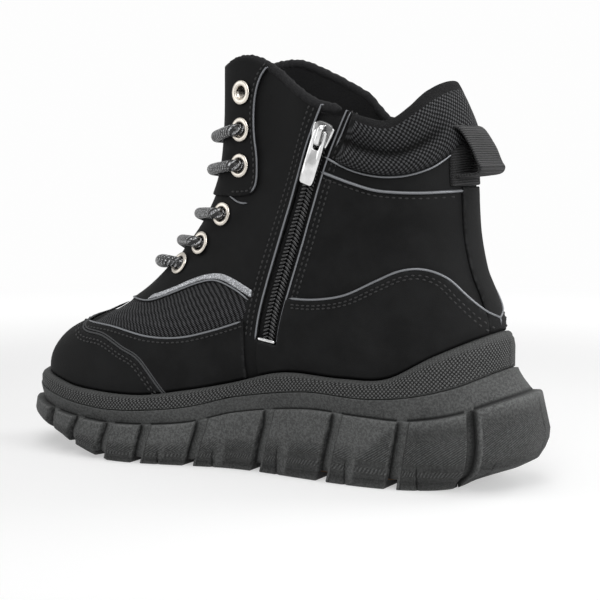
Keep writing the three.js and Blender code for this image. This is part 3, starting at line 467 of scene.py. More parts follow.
def trim(data, faces, field):
    """Keeps the part of a triangle sheet where the field is positive: a triangle that straddles
    zero is cut where the field, taken as straight along each edge, is zero."""
    inside = field[faces] > 0
    count = inside.sum(1)

    def turned(rows, first):
        return np.take_along_axis(rows, (first[:, None] + np.arange(3)) % 3, 1)
    one = turned(faces[count == 1], inside[count == 1].argmax(1))
    two = turned(faces[count == 2], (~inside[count == 2]).argmax(1))
    pairs = np.concatenate([one[:, [0, 1]], one[:, [0, 2]], two[:, [0, 1]], two[:, [0, 2]]])
    keys, index = np.unique(pairs.min(1) * len(data) + pairs.max(1), return_inverse=True)
    a, b = keys // len(data), keys % len(data)
    t = (field[a] / (field[a] - field[b]))[:, None]
    data = np.concatenate([data, data[a] + (data[b] - data[a]) * t])
    index = index.ravel() + len(field)
    p, q, r, w = np.split(index, np.cumsum([len(one), len(one), len(two)]))
    kept = np.concatenate([faces[count == 3], np.stack([one[:, 0], p, q], -1),
                           np.stack([r, two[:, 1], two[:, 2]], -1), np.stack([r, two[:, 2], w], -1)])
    used, kept = np.unique(kept, return_inverse=True)
    return data[used], kept.reshape(-1, 3)


def rim_edges(faces):
    """Directed edges that belong to one face only."""
    pairs = np.concatenate([faces[:, [i, (i + 1) % faces.shape[1]]] for i in range(faces.shape[1])])
    keys = pairs.min(1).astype(np.int64) * (faces.max() + 1) + pairs.max(1)
    _, index, count = np.unique(keys, return_inverse=True, return_counts=True)
    return pairs[count[index.ravel()] == 1]


def walled(outer, inner, faces):
    """Closed wall between two copies of a triangle sheet: the outer faces, the inner ones turned
    over, and a strip along each open edge."""
    n = len(outer)
    a, b = rim_edges(faces).T
    strip = np.stack([b, a, a + n, b + n], -1)
    return np.concatenate([outer, inner]), np.concatenate([faces, faces[:, ::-1] + n, halves(strip)])


def volume(points, faces):
    a, b, c = (points[halves(faces)[:, k]] for k in range(3))
    return np.einsum("ij,ij->i", a, np.cross(b, c)).sum() / 6


def piece(name, points, faces, materials, body="boot", uv=None, marks=None, kind=None,
          replaces=(), flat=False):
    """Object from points in millimetres of the boot's own frame. A closed mesh that came out
    inside-out is turned. uv is in millimetres, marks are values at the points, and kind gives
    each face's material."""
    if volume(points, faces) < 0:
        faces = faces[:, ::-1]
    mesh = bpy.data.meshes.new(name)
    count, size = faces.shape
    mesh.vertices.add(len(points))
    mesh.vertices.foreach_set("co", ((points + SHIFT) / 1000).astype(np.float32).ravel())
    mesh.loops.add(count * size)
    mesh.loops.foreach_set("vertex_index", faces.astype(np.int32).ravel())
    mesh.polygons.add(count)
    mesh.polygons.foreach_set("loop_start", np.arange(count, dtype=np.int32) * size)
    mesh.polygons.foreach_set("use_smooth", np.full(count, not flat))
    if kind is not None:
        mesh.polygons.foreach_set("material_index", kind.astype(np.int32))
    if uv is not None:
        layer = mesh.uv_layers.new(name="UVMap")
        layer.data.foreach_set("uv", (uv[faces.ravel()] / 100).astype(np.float32).ravel())
    for key, values in (marks or {}).items():
        mesh.attributes.new(key, "FLOAT", "POINT").data.foreach_set("value", values.astype(np.float32))
    for material in materials if isinstance(materials, (list, tuple)) else [materials]:
        mesh.materials.append(material)
    mesh.update(calc_edges=True)
    mesh.validate()
    made = bpy.data.objects.new(name, mesh)
    bpy.context.scene.collection.objects.link(made)
    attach(made, body)
    if replaces:
        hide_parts(*replaces)
    return made


def joined(parts):
    """Points and triangles of several meshes as one."""
    offset, points, faces = 0, [], []
    for p, f in parts:
        points.append(p)
        faces.append(halves(f) + offset)
        offset += len(p)
    return np.concatenate(points), np.concatenate(faces)


def chart(p):
    """Flat map of a grid of points in millimetres: lengths along its rows and up its columns,
    counted from the middle column."""
    run, rise = (np.cumsum(np.linalg.norm(np.diff(p, axis=axis), axis=-1), axis) for axis in (1, 0))
    run = np.concatenate([np.zeros_like(p[:, :1, 0]), run], 1)
    rise = np.concatenate([np.zeros_like(p[:1, :, 0]), rise], 0)
    return run - run[:, run.shape[1] // 2, None], rise


def sheet(s_range, levels, counts, fields, out, under, round_edge=0.5, relief=None):
    """Closed sheet on the upper's form: a grid in (s, level), trimmed by fields of the face's
    points, between the offsets out and under. Its outer edge is rounded where the smallest field
    nears zero. Returns points, faces, uv and the distance to the edge."""
    s, level = np.meshgrid(np.linspace(*s_range, counts[0]), np.linspace(*levels, counts[1]))
    u, v = chart(face(s, level))
    data = np.stack([s, level, u, v], -1).reshape(-1, 4)
    faces = halves(grid_faces(counts[1], counts[0]))
    for field in fields:
        data, faces = trim(data, faces, field(face(data[:, 0], data[:, 1])))
    s, level = data[:, 0], data[:, 1]
    p = face(s, level)
    edge = np.minimum.reduce([np.full(len(p), FAR)] + [field(p) for field in fields])
    near = round_edge - np.clip(edge, 0, round_edge)
    lie = round_edge - np.sqrt(np.maximum(0, round_edge ** 2 - near ** 2))
    bump = relief(p) if relief else 0
    outer, inner = shell(s, level, out - lie + bump), shell(s, level, under)
    points, faces = walled(outer, inner, faces)
    return points, faces, np.tile(data[:, 2:], (2, 1)), np.tile(edge, 2)


def tube(path, normal, radius, sides=10, flat=1.0):
    """Round cord along a path: a ring across its run at every point, its first axis along the
    given normal and flattened there by flat, closed with a point at both ends."""
    run = unit(np.gradient(path, axis=0))
    n = flat_to(normal, run)
    b = np.cross(run, n)
    a = np.linspace(0, 2 * np.pi, sides, endpoint=False)
    r = (np.zeros(len(path)) + radius)[:, None, None]
    f = (np.zeros(len(path)) + flat)[:, None, None]
    ring = path[:, None] + r * (f * np.cos(a)[:, None] * n[:, None] + np.sin(a)[:, None] * b[:, None])
    points = np.concatenate([ring.reshape(-1, 3), path[:1], path[-1:]])
    faces = halves(grid_faces(len(path), sides, True))
    j = np.arange(sides)
    base = (len(path) - 1) * sides
    first, last = len(points) - 2, len(points) - 1
    ends = np.concatenate([np.stack([j, (j + 1) % sides, 0 * j + first], -1),
                           np.stack([base + (j + 1) % sides, base + j, 0 * j + last], -1)])
    far = run_length(path)
    uv = np.stack(np.broadcast_arrays(far[:, None], a[None] / (2 * np.pi) * 100), -1).reshape(-1, 2)
    uv = np.concatenate([uv, [[0, 0], [far[-1], 0]]])
    return points, np.concatenate([faces, ends]), uv


def carried(path, first):
    """Normals along a path that turn with it and no further: each is the last one made flat to
    the run, n = unit(m - (m . t) t)."""
    run = unit(np.gradient(path, axis=0))
    normals = [first]
    for t in run:
        m = normals[-1]
        normals.append(unit(m - (m @ t) * t))
    return np.array(normals[1:])


def surface_tube(line, d, radius, lateral=False, sides=8, taper=1.0):
    """Cord that lies on the face along a side line, thinner towards its ends."""
    s, level = on_side(line, lateral)
    path, n = shell(s, level, d), outward(s, level)
    far = run_length(path)
    end = np.minimum(far, far[-1] - far)
    return tube(path, n, radius * np.sqrt(np.clip(end / taper, 0.04, 1)), sides)[:2]


def stitch_row(line, d, lateral, length, pitch, thick=0.5):
    """Row of stitches on the face along a side line: one small ellipsoid a stitch, its long axis
    along the row, sunk to its middle."""
    s, level = on_side(even(line, pitch), lateral)
    path, n = shell(s, level, d), outward(s, level)
    run = unit(np.gradient(path, axis=0))
    n = flat_to(n, run)
    b = np.cross(run, n)
    return scattered(path, (run, n, b), *bead(5, 6, length / 2, thick))


def bead(rings, around, long, thick):
    """Points and faces of a small ellipsoid, its long axis first."""
    theta, phi = np.meshgrid(np.linspace(0, np.pi, rings), np.linspace(0, 2 * np.pi, around, endpoint=False),
                             indexing="ij")
    local = np.stack([np.cos(theta) * long, np.sin(theta) * np.cos(phi) * thick,
                      np.sin(theta) * np.sin(phi) * thick], -1).reshape(-1, 3)
    return local, halves(grid_faces(rings, around, True))


def scattered(path, axes, local, one):
    """Copies of a small form at each point of a path, along three axes there."""
    points = path[:, None]
    for k, axis in enumerate(axes):
        points = points + local[:, k, None] * axis[:, None]
    faces = one + (np.arange(len(path)) * len(local))[:, None, None]
    return points.reshape(-1, 3), faces.reshape(-1, 3)


# Finishes

class Graph:
    """Short way to wire shader nodes: each input is a plain value or another node's output."""

    def __init__(self, tree):
        self.tree = tree

    def feed(self, socket, value):
        if isinstance(value, bpy.types.NodeSocket):
            self.tree.links.new(value, socket)
        else:
            socket.default_value = value

    def add(self, kind, inputs=None, out=0, **settings):
        node = self.tree.nodes.new("ShaderNode" + kind)
        for key, value in settings.items():
            setattr(node, key, value)
        for key, value in (inputs or {}).items():
            self.feed(node.inputs[key], value)
        return node.outputs[out]

    def math(self, operation, *values):
        return self.add("Math", dict(enumerate(values)), operation=operation)

    def ramp(self, value, low, high, to_low=0.0, to_high=1.0):
        return self.add("MapRange", {"Value": value, "From Min": low, "From Max": high, "To Min": to_low,
                                     "To Max": to_high}, interpolation_type="SMOOTHSTEP")

    def blend(self, factor, a, b):
        return self.add("Mix", {0: factor, 6: a, 7: b}, 2, data_type="RGBA")

    def noise(self, vector, scale, detail=3.0, rough=0.55):
        return self.add("TexNoise", {"Vector": vector, "Scale": scale, "Detail": detail, "Roughness": rough})

    def bump(self, height, distance, strength=1.0):
        return self.add("Bump", {"Height": height, "Distance": distance, "Strength": strength})

    def place(self):
        return self.add("TexCoord", out="Object")

    def cloth_map(self):
        """The piece's flat map in millimetres."""
        spot = self.add("UVMap", uv_map="UVMap")
        return self.add("VectorMath", {0: spot, 1: (100, 100, 100)}, operation="MULTIPLY")

    def mark(self, name):
        return self.add("Attribute", out="Fac", attribute_name=name)

    def effect(self, group, **inputs):
        node = self.tree.nodes.new("ShaderNodeGroup")
        node.node_tree = group
        for key, value in inputs.items():
            self.feed(node.inputs[key.replace("_", " ")], value)
        return node.outputs


def effect_group(name, inputs, outputs, wire):
    """Shared effect: a node group whose outputs are what wire(graph, inputs) gives, in order."""
    if name in bpy.data.node_groups:
        return bpy.data.node_groups[name]
    tree = bpy.data.node_groups.new(name, "ShaderNodeTree")
    for key, (kind, value) in inputs.items():
        socket = tree.interface.new_socket(key, in_out="INPUT", socket_type="NodeSocket" + kind)
        if value is not None:
            socket.default_value = value
    for key, kind in outputs.items():
        tree.interface.new_socket(key, in_out="OUTPUT", socket_type="NodeSocket" + kind)
    start, end = tree.nodes.new("NodeGroupInput"), tree.nodes.new("NodeGroupOutput")
    for socket, value in zip(end.inputs, wire(Graph(tree), start.outputs)):
        tree.links.new(value, socket)
    return tree


def grain_group():
    """Height and tone of a brushed nap: a fine noise over a broad one, both in the boot's space."""
    def wire(g, given):
        fine = g.noise(given["Place"], given["Fine Scale"], 4.0, 0.65)
        broad = g.noise(given["Place"], given["Broad Scale"], 3.0, 0.6)
        height = g.math("ADD", g.math("MULTIPLY", fine, 0.55), g.math("MULTIPLY", broad, 0.45))
        return [height, g.ramp(broad, 0.35, 0.68)]
    return effect_group("Nap grain", {"Place": ("Vector", None), "Fine Scale": ("Float", 2200.0),
                                      "Broad Scale": ("Float", 60.0)},
                        {"Height": "Float", "Tone": "Float"}, wire)


def wear_group():
    """Mask of rubbed edges and dust: the share near a piece's edge, broken up by noise."""
    def wire(g, given):
        near = g.ramp(given["Edge"], 0.0, given["Width"], 1.0, 0.0)
        patchy = g.ramp(g.noise(given["Place"], 420.0, 4.0, 0.7), 0.42, 0.66)
        dust = g.ramp(g.noise(given["Place"], 3600.0, 2.0, 0.8), 0.66, 0.8)
        return [g.math("MULTIPLY", near, patchy), dust]
    return effect_group("Edge wear and dust", {"Place": ("Vector", None), "Edge": ("Float", 9.0),
                                               "Width": ("Float", 1.6)},
                        {"Wear": "Float", "Dust": "Float"}, wire)


def weave_group():
    """Net of threads round holes on the flat map: the product of two waves that lean both ways is
    high on the knots and low in the holes."""
    def wire(g, given):
        split = g.tree.nodes.new("ShaderNodeSeparateXYZ")
        g.feed(split.inputs[0], given["Map"])
        wobble = g.math("MULTIPLY", g.math("SUBTRACT", g.noise(given["Map"], 0.9, 2.0), 0.5), given["Wobble"])
        u = g.math("ADD", split.outputs[0], wobble)
        v = g.math("SUBTRACT", g.math("MULTIPLY", split.outputs[1], given["Stretch"]), wobble)
        turn = g.math("DIVIDE", 2 * math.pi, given["Pitch"])
        one = g.math("COSINE", g.math("MULTIPLY", g.math("ADD", u, v), turn))
        two = g.math("COSINE", g.math("MULTIPLY", g.math("SUBTRACT", u, v), turn))
        return [g.ramp(g.math("ADD", one, two), -2.0, 2.0)]
    return effect_group("Net weave", {"Map": ("Vector", None), "Pitch": ("Float", 2.2),
                                      "Stretch": ("Float", 1.0), "Wobble": ("Float", 0.35)},
                        {"Thread": "Float"}, wire)


def rib_group():
    """Ribs across the flat map: a sine along the line that leans by Lean, and its cross rib."""
    def wire(g, given):
        split = g.tree.nodes.new("ShaderNodeSeparateXYZ")
        g.feed(split.inputs[0], given["Map"])
        line = g.math("ADD", split.outputs[0], g.math("MULTIPLY", split.outputs[1], given["Lean"]))
        cross = g.math("SUBTRACT", split.outputs[0], g.math("MULTIPLY", split.outputs[1], given["Cross"]))
        turn = g.math("DIVIDE", 2 * math.pi, given["Pitch"])

        def wave(value):
            swing = g.math("SINE", g.math("MULTIPLY", value, turn))
            return g.math("ADD", g.math("MULTIPLY", swing, 0.5), 0.5)
        rib = wave(line)
        return [rib, g.math("MULTIPLY", rib, wave(cross))]
    return effect_group("Ribs", {"Map": ("Vector", None), "Pitch": ("Float", 1.2), "Lean": ("Float", 1.0),
                                 "Cross": ("Float", 1.0)}, {"Rib": "Float", "Knurl": "Float"}, wire)


def colour(value, gain=1.0):
    return (value[0] * gain, value[1] * gain, value[2] * gain, 1.0)


def material(name, build):
    """Material of this name, built once: build(graph) gives the Principled BSDF's inputs. The
    frame's own plain materials have the bare names."""
    name = "finish_" + name
    if name in bpy.data.materials:
        return bpy.data.materials[name]
    made = bpy.data.materials.new(name)
    made.use_nodes = True
    made.node_tree.nodes.clear()
    g = Graph(made.node_tree)
    shader = g.add("BsdfPrincipled", build(g))
    end = made.node_tree.nodes.new("ShaderNodeOutputMaterial")
    made.node_tree.links.new(shader, end.inputs["Surface"])
    return made


def tints():
    return bpy.context.scene.boot_colours


def nubuck():
    def build(g):
        place = g.place()
        grain = g.effect(grain_group(), Place=place, Fine_Scale=2300.0, Broad_Scale=55.0)
        wear = g.effect(wear_group(), Place=place, Edge=g.mark("edge"), Width=1.8)
        base = g.blend(grain["Tone"], colour(tints().nubuck, 0.62), colour(tints().nubuck, 1.1))
        base = g.blend(g.math("MULTIPLY", wear["Wear"], 0.55), base, colour(tints().nubuck, 3.2))
        base = g.blend(g.math("MULTIPLY", wear["Dust"], 0.3), base, colour(tints().nubuck, 4.5))
        return {"Base Color": base, "Roughness": g.ramp(grain["Tone"], 0, 1, 0.62, 0.74),
                "Specular IOR Level": 0.1,
                "Normal": g.bump(grain["Height"], 0.0003, 0.7)}
    return material("nubuck", build)


def fleece(name="fleece", gain=1.0):
    def build(g):
        place = g.place()
        tuft = g.noise(place, 1500.0, 5.0, 0.75)
        broad = g.noise(place, 90.0, 2.0, 0.5)
        base = g.blend(tuft, colour(tints().lining, 0.5 * gain), colour(tints().lining, 2.4 * gain))
        return {"Base Color": base, "Roughness": 0.95, "Sheen Weight": 0.06, "Sheen Roughness": 0.6,
                "Specular IOR Level": 0.03,
                "Normal": g.bump(g.math("ADD", tuft, g.math("MULTIPLY", broad, 1.5)), 0.0009, 0.9)}
    return material(name, build)


def net(name, pitch, stretch, thread_gain, hole_low, hole_high):
    """Mesh cloth: grey threads over dark holes, on the flat map. The fold mark paints shade into the trough
    of the collar pad.
    """
    def build(g):
        weave = g.effect(weave_group(), Map=g.cloth_map(), Pitch=pitch, Stretch=stretch, Wobble=0.3)["Thread"]
        solid = g.ramp(weave, hole_low, hole_high)
        fleck = g.noise(g.place(), 2600.0, 3.0, 0.7)
        light = g.blend(fleck, colour(tints().net, thread_gain * 0.6), colour(tints().net, thread_gain * 1.5))
        base = g.blend(solid, colour(tints().net, 0.1), light)
        # Painted shade: where the fold mark is set, the threads darken towards black, as in the collar pad's
        # trough.
        base = g.blend(g.mark("fold"), base, colour(tints().net, 0.03))
        return {"Base Color": base, "Roughness": g.ramp(solid, 0, 1, 0.95, 0.6), "Specular IOR Level": 0.2,
                "Normal": g.bump(weave, 0.0006, 0.9)}
    return material(name, build)


def rubber():
    def build(g):
        place = g.place()
        fine = g.noise(place, 1700.0, 3.0, 0.6)
        broad = g.noise(place, 45.0, 3.0, 0.6)
        ribs = g.effect(rib_group(), Map=g.cloth_map(), Pitch=1.6, Lean=-1.5, Cross=1.0)["Rib"]
        part = g.math("MULTIPLY", ribs, g.mark("ribbed"))
        grit = g.ramp(g.noise(place, 950.0, 2.0, 0.8), 0.38, 0.62)
        wear = g.effect(wear_group(), Place=place, Edge=g.mark("edge"), Width=0.9)
        base = g.blend(g.ramp(broad, 0.3, 0.7), colour(tints().rubber, 0.86), colour(tints().rubber, 1.14))
        base = g.blend(g.math("MULTIPLY", grit, 0.6), g.blend(0.2, base, colour(tints().rubber, 0.0)),
                       colour(tints().rubber, 1.8))
        # Painted shade from the groove mark: the grooves beside the lugs' steep walls, the slits in their
        # feet, the line under their top edge and the channel under the sole.
        base = g.blend(g.math("MULTIPLY", g.mark("groove"), 0.9), base, colour(tints().rubber, 0.08))
        # Painted shade in the ribs' troughs: the colour darkens where the bump below sets the surface lowest.
        base = g.blend(g.math("MULTIPLY", part, 0.75), base, colour(tints().rubber, 0.22))
        base = g.blend(g.math("MULTIPLY", wear["Wear"], 0.4), base, colour(tints().rubber, 2.1))
        height = g.math("ADD", g.math("MULTIPLY", fine, 0.25), g.math("MULTIPLY", part, -0.9))
        return {"Base Color": base, "Roughness": g.ramp(fine, 0.3, 0.7, 0.6, 0.74),
                "Specular IOR Level": 0.16, "Normal": g.bump(height, 0.0004, 0.8)}
    return material("sole_rubber", build)


def knurled_rubber():
    def build(g):
        place = g.place()
        fine = g.noise(place, 2000.0, 3.0, 0.6)
        knurl = g.effect(rib_group(), Map=g.cloth_map(), Pitch=1.9, Lean=1.0, Cross=1.0)["Knurl"]
        part = g.mark("knurled")
        bead = g.math("MULTIPLY", g.ramp(knurl, 0.12, 0.42), part)
        # Painted shade and light: nearly black between the knurl's beads and lighter on their tops, following
        # the bump's height.
        base = g.blend(bead, colour(tints().rubber, 0.02), colour(tints().rubber, 1.45))
        base = g.blend(part, colour(tints().rubber, 0.95), base)
        base = g.blend(g.math("MULTIPLY", g.ramp(fine, 0.4, 0.7), 0.4), base, colour(tints().rubber, 1.6))
        height = g.math("ADD", bead, g.math("MULTIPLY", fine, 0.12))
        return {"Base Color": base, "Roughness": 0.62, "Specular IOR Level": 0.18,
                "Normal": g.bump(height, 0.0006, 0.8)}
    return material("knurled_rubber", build)


def tread_rubber():
    def build(g):
        place = g.place()
        fine = g.noise(place, 1500.0, 4.0, 0.65)
        dust = g.ramp(g.noise(place, 70.0, 3.0), 0.35, 0.7)
        base = g.blend(dust, colour(tints().tread, 0.7), colour(tints().tread, 1.2))
        return {"Base Color": base, "Roughness": 0.78, "Normal": g.bump(fine, 0.0003, 0.6)}
    return material("tread_rubber", build)


def webbing():
    def build(g):
        place = g.place()
        ribs = g.effect(rib_group(), Map=g.cloth_map(), Pitch=1.1, Lean=0.0, Cross=1.6)
        lint = g.ramp(g.noise(place, 3200.0, 3.0, 0.8), 0.6, 0.78)
        # Painted shade and light: the ribs' troughs darker and their tops lighter, following the bump; the
        # lint flecks are real.
        base = g.blend(ribs["Rib"], colour(tints().webbing, 0.45), colour(tints().webbing, 1.7))
        base = g.blend(g.math("MULTIPLY", lint, 0.3), base, colour(tints().webbing, 6.0))
        height = g.math("ADD", ribs["Rib"], g.math("MULTIPLY", ribs["Knurl"], 0.5))
        return {"Base Color": base, "Roughness": 0.82, "Sheen Weight": 0.15, "Specular IOR Level": 0.3,
                "Normal": g.bump(height, 0.0005, 0.9)}
    return material("webbing", build)


def braid(name, tint, gain, pitch, fleck, rough, metal=0.0, lint=0.5):
    """Braided cord: strands that cross both ways round it, with lighter flecks on one of them."""
    def build(g):
        spot = g.cloth_map()
        ribs = g.effect(rib_group(), Map=spot, Pitch=pitch, Lean=pitch / 25, Cross=pitch / 25)
        bits = g.ramp(g.noise(g.place(), 1500.0, 2.0, 0.7), 0.47, 0.54)
        strand = g.ramp(ribs["Rib"], 0.55, 0.75)
        # Painted shade and light: darker in the hollows where the strands cross and lighter on their tops,
        # following the bump; the flecks below are the cord's own.
        base = g.blend(ribs["Knurl"], colour(tint, 0.5 * gain), colour(tint, 1.35 * gain))
        base = g.blend(g.math("MULTIPLY", g.math("MULTIPLY", bits, strand), lint), base, colour(fleck))
        return {"Base Color": base, "Roughness": rough, "Metallic": metal, "Specular IOR Level": 0.5,
                "Normal": g.bump(ribs["Knurl"], 0.0005, 0.9)}
    return material(name, build)


def metal(name, tint, rough):
    def build(g):
        place = g.place()
        scratch = g.noise(place, 800.0, 5.0, 0.75)
        tone = g.ramp(g.noise(place, 160.0, 2.0), 0.35, 0.65)
        base = g.blend(tone, colour(tint, 0.82), colour(tint, 1.04))
        return {"Base Color": base, "Metallic": 1.0, "Normal": g.bump(scratch, 0.00005, 0.3),
                "Roughness": g.ramp(scratch, 0.3, 0.75, rough, rough + 0.16)}
    return material(name, build)


def coil():
    def build(g):
        shine = g.noise(g.place(), 900.0, 2.0)
        base = g.blend(shine, colour(tints().coil, 0.7), colour(tints().coil, 1.5))
        return {"Base Color": base, "Roughness": g.ramp(shine, 0.3, 0.7, 0.22, 0.36), "Coat Weight": 0.4,
                "Coat Roughness": 0.15, "Normal": g.bump(shine, 0.0001, 0.3)}
    return material("zip_coil", build)


def tape_cloth():
    def build(g):
        ribs = g.effect(rib_group(), Map=g.cloth_map(), Pitch=0.8, Lean=0.6, Cross=0.6)
        # Painted shade and light: the weave's hollows darker and its tops lighter, following the bump.
        base = g.blend(ribs["Knurl"], colour(tints().coil, 0.5), colour(tints().coil, 1.4))
        return {"Base Color": base, "Roughness": 0.85, "Normal": g.bump(ribs["Knurl"], 0.0003, 0.7)}
    return material("zip_tape_cloth", build)


def reflective():
    def build(g):
        spark = g.add("TexVoronoi", {"Vector": g.place(), "Scale": 2600.0}, out="Color")
        bits = g.ramp(g.add("SeparateColor", {0: spark}, out=0), 0.45, 0.95)
        base = g.blend(bits, colour(tints().reflective, 0.38), colour(tints().reflective, 1.0))
        return {"Base Color": base, "Roughness": 0.35, "Metallic": 0.25, "Normal": g.bump(bits, 0.0002, 0.6)}
    return material("reflective", build)


def thread():
    def build(g):
        twist = g.noise(g.place(), 3000.0, 2.0)
        base = g.blend(twist, colour(tints().thread, 0.6), colour(tints().thread, 1.6))
        return {"Base Color": base, "Roughness": 0.55, "Sheen Weight": 0.1,
                "Normal": g.bump(twist, 0.0002, 0.6)}
    return material("thread", build)


def studio_floor():
    def build(g):
        far = g.add("VectorMath", {0: g.place()}, 1, operation="LENGTH")
        cloud = g.math("MULTIPLY", g.noise(g.place(), 3.0, 2.0), 0.05)
        haze = g.ramp(g.math("ADD", far, cloud), 0.16, 0.95)
        base = g.blend(haze, colour(tints().floor), colour(tints().floor, 0.0))
        seen, mirrored = (g.add("LightPath", out=f"Is {kind} Ray") for kind in ("Camera", "Glossy"))
        ray = g.math("MAXIMUM", seen, mirrored)
        glow = g.math("MULTIPLY", ray, g.ramp(haze, 0, 1, 0.44, 0.985))
        return {"Base Color": base, "Roughness": 0.9, "Specular IOR Level": 0.0,
                "Emission Color": (1, 1, 1, 1), "Emission Strength": glow}
    return material("studio_floor", build)


def silver_cord():
    return braid("silver_cord", tints().piping, 1.0, 1.1, tints().piping, 0.42, 0.55)


# Sizes and colours that a user may change

def length(name, text, value):
    return bpy.props.FloatProperty(name=name, description=text, default=value, min=0.0, subtype="DISTANCE",
                                   unit="LENGTH", precision=5)


def tint(name, text, value):
    return bpy.props.FloatVectorProperty(name=name, description=text, default=value, size=3, min=0.0, max=1.0,
                                         subtype="COLOR")


class BootSizes(bpy.types.PropertyGroup):
    """Small sizes of the trim, in metres."""
    piping: length("Piping", "Radius of the piping cord", 0.00055)
    binding: length("Binding", "Radius of the collar's binding roll", 0.0022)
    stitch: length("Stitch", "Length of one stitch", 0.0018)
    stitch_pitch: length("Stitch pitch", "Distance from stitch to stitch", 0.0027)
    tooth_pitch: length("Tooth pitch", "Distance from zip tooth to zip tooth", 0.0018)
    lace: length("Lace", "Diameter of the laces", 0.0053)
    net_pitch: length("Net pitch", "Distance from knot to knot of the mesh", 0.0022)


class BootColours(bpy.types.PropertyGroup):
    """Base colours of the finishes."""
    nubuck: tint("Nubuck", "Upper panels", (0.0135, 0.0137, 0.0140))
    lining: tint("Lining", "Fleece inside the boot", (0.0105, 0.0105, 0.0110))
    net: tint("Net", "Threads of the sport mesh", (0.060, 0.061, 0.064))
    rubber: tint("Rubber", "Sole and midsole", (0.0950, 0.0970, 0.0960))
    tread: tint("Tread", "Plate under the sole", (0.145, 0.080, 0.036))
    webbing: tint("Webbing", "Pull loop", (0.016, 0.016, 0.017))
    lace: tint("Lace", "Braid of the laces", (0.0070, 0.0070, 0.0078))
    fleck: tint("Fleck", "Light strands in the laces", (0.80, 0.81, 0.83))
    piping: tint("Piping", "Silver cord along the panels", (0.30, 0.31, 0.33))
    reflective: tint("Reflective", "Strip on the mesh window", (0.78, 0.80, 0.84))
    eyelet: tint("Eyelets", "Champagne metal", (0.72, 0.67, 0.60))
    steel: tint("Zip metal", "Slider and tab", (0.80, 0.80, 0.80))
    coil: tint("Coil", "Zip teeth and tape", (0.0060, 0.0060, 0.0066))
    thread: tint("Thread", "Stitches", (0.0035, 0.0035, 0.0038))
    floor: tint("Floor", "Studio floor", (0.60, 0.60, 0.60))


def sizes():
    return bpy.context.scene.boot_sizes


def mm(value):
    return value * 1000


class BootStep:
    """What the operators share: they register and undo as one step."""
    bl_options = {"REGISTER", "UNDO"}

    def execute(self, context):
        self.make(context)
        return {"FINISHED"}


class BOOT_OT_stage(BootStep, bpy.types.Operator):
    """Camera at the photograph's angle, pale floor, soft lights and world"""
    bl_idname = "boot.stage"
    bl_label = "Stage"
    turn, rise, far = math.radians(30), math.radians(5.8), 720.0
    aim = np.array([15.0, 0.0, 78.0])
    # Name, place, size in metres and power of each lamp
    lamps = (("key", (0.42, -0.95, 1.15), 0.9, 7.0), ("fill", (-1.15, -0.75, 0.55), 1.1, 3.2),
             ("rim", (0.75, 0.95, 0.95), 0.9, 6.0), ("top", (0.0, 0.0, 1.5), 1.3, 5.0),
             ("heel", (1.2, -0.25, 0.4), 0.7, 7.5))
    lit, seen, mirrored = 0.22, 0.985, 0.55

    def make(self, context):
        a, e = self.turn, self.rise
        back = np.array([math.sin(a) * math.cos(e), -math.cos(a) * math.cos(e), math.sin(e)])
        right = np.array([math.cos(a), math.sin(a), 0])
        lens = bpy.data.cameras.new("camera")
        lens.lens, lens.sensor_width = 90.0, 36.0
        camera = bpy.data.objects.new("camera", lens)
        context.scene.collection.objects.link(camera)
        place = (self.aim + back * self.far + SHIFT) / 1000
        axes = np.stack([right, np.cross(back, right), back], -1)
        turned = np.eye(4)
        turned[:3, :3], turned[:3, 3] = axes, place
        camera.matrix_world = Matrix(turned.tolist())
        context.scene.camera = camera
        self.floor(context)
        for lamp in self.lamps:
            self.light(context, *lamp)
        self.world(context)
        context.scene.view_settings.view_transform = "Standard"

    def world(self, context):
        """White backdrop to the camera, a paler one in mirrors and a softer one as light."""
        world = bpy.data.worlds.new("studio")
        world.use_nodes = True
        ground = world.node_tree.nodes["Background"]
        g = Graph(world.node_tree)
        gleam = g.math("MULTIPLY", g.add("LightPath", out="Is Glossy Ray"), self.mirrored)
        either = g.math("MAXIMUM", g.add("LightPath", out="Is Camera Ray"), gleam)
        strength = g.add("MapRange", {"Value": either, "To Min": self.lit, "To Max": self.seen})
        g.feed(ground.inputs["Strength"], strength)
        ground.inputs["Color"].default_value = (1, 1, 1, 1)
        context.scene.world = world

    def floor(self, context):
        """Flat disc of rings out to three metres, a tenth of a millimetre under the sole."""
        radius = np.array([0.2, 0.5, 1.0, 3.0])
        turn = np.linspace(0, 2 * np.pi, 64, endpoint=False)
        x, y = radius[:, None] * np.cos(turn), radius[:, None] * np.sin(turn)
        points = np.concatenate([np.zeros((1, 3)), np.stack([x, y, 0 * x], -1).reshape(-1, 3)])
        points[:, 2] = -0.0001
        j = np.arange(64)
        faces = [tuple(f) for f in np.stack([0 * j, j + 1, (j + 1) % 64 + 1], -1).tolist()]
        i = np.arange(3)[:, None] * 64 + 1
        quads = np.stack([i + j, i + 64 + j, i + 64 + (j + 1) % 64, i + (j + 1) % 64], -1).reshape(-1, 4)
        mesh = bpy.data.meshes.new("floor")
        mesh.from_pydata(points.tolist(), [], faces + [tuple(f) for f in quads.tolist()])
        mesh.materials.append(studio_floor())
        floor = bpy.data.objects.new("floor", mesh)
        context.scene.collection.objects.link(floor)

    def light(self, context, name, place, size, power):
        lamp = bpy.data.lights.new(name, "AREA")
        lamp.shape, lamp.size, lamp.energy = "DISK", size, power
        lamp_object = bpy.data.objects.new(name, lamp)
        lamp_object.location = place
        aim = Vector((0, 0, 0.08)) - Vector(place)
        lamp_object.rotation_euler = aim.to_track_quat("-Z", "Y").to_euler()
        context.scene.collection.objects.link(lamp_object)


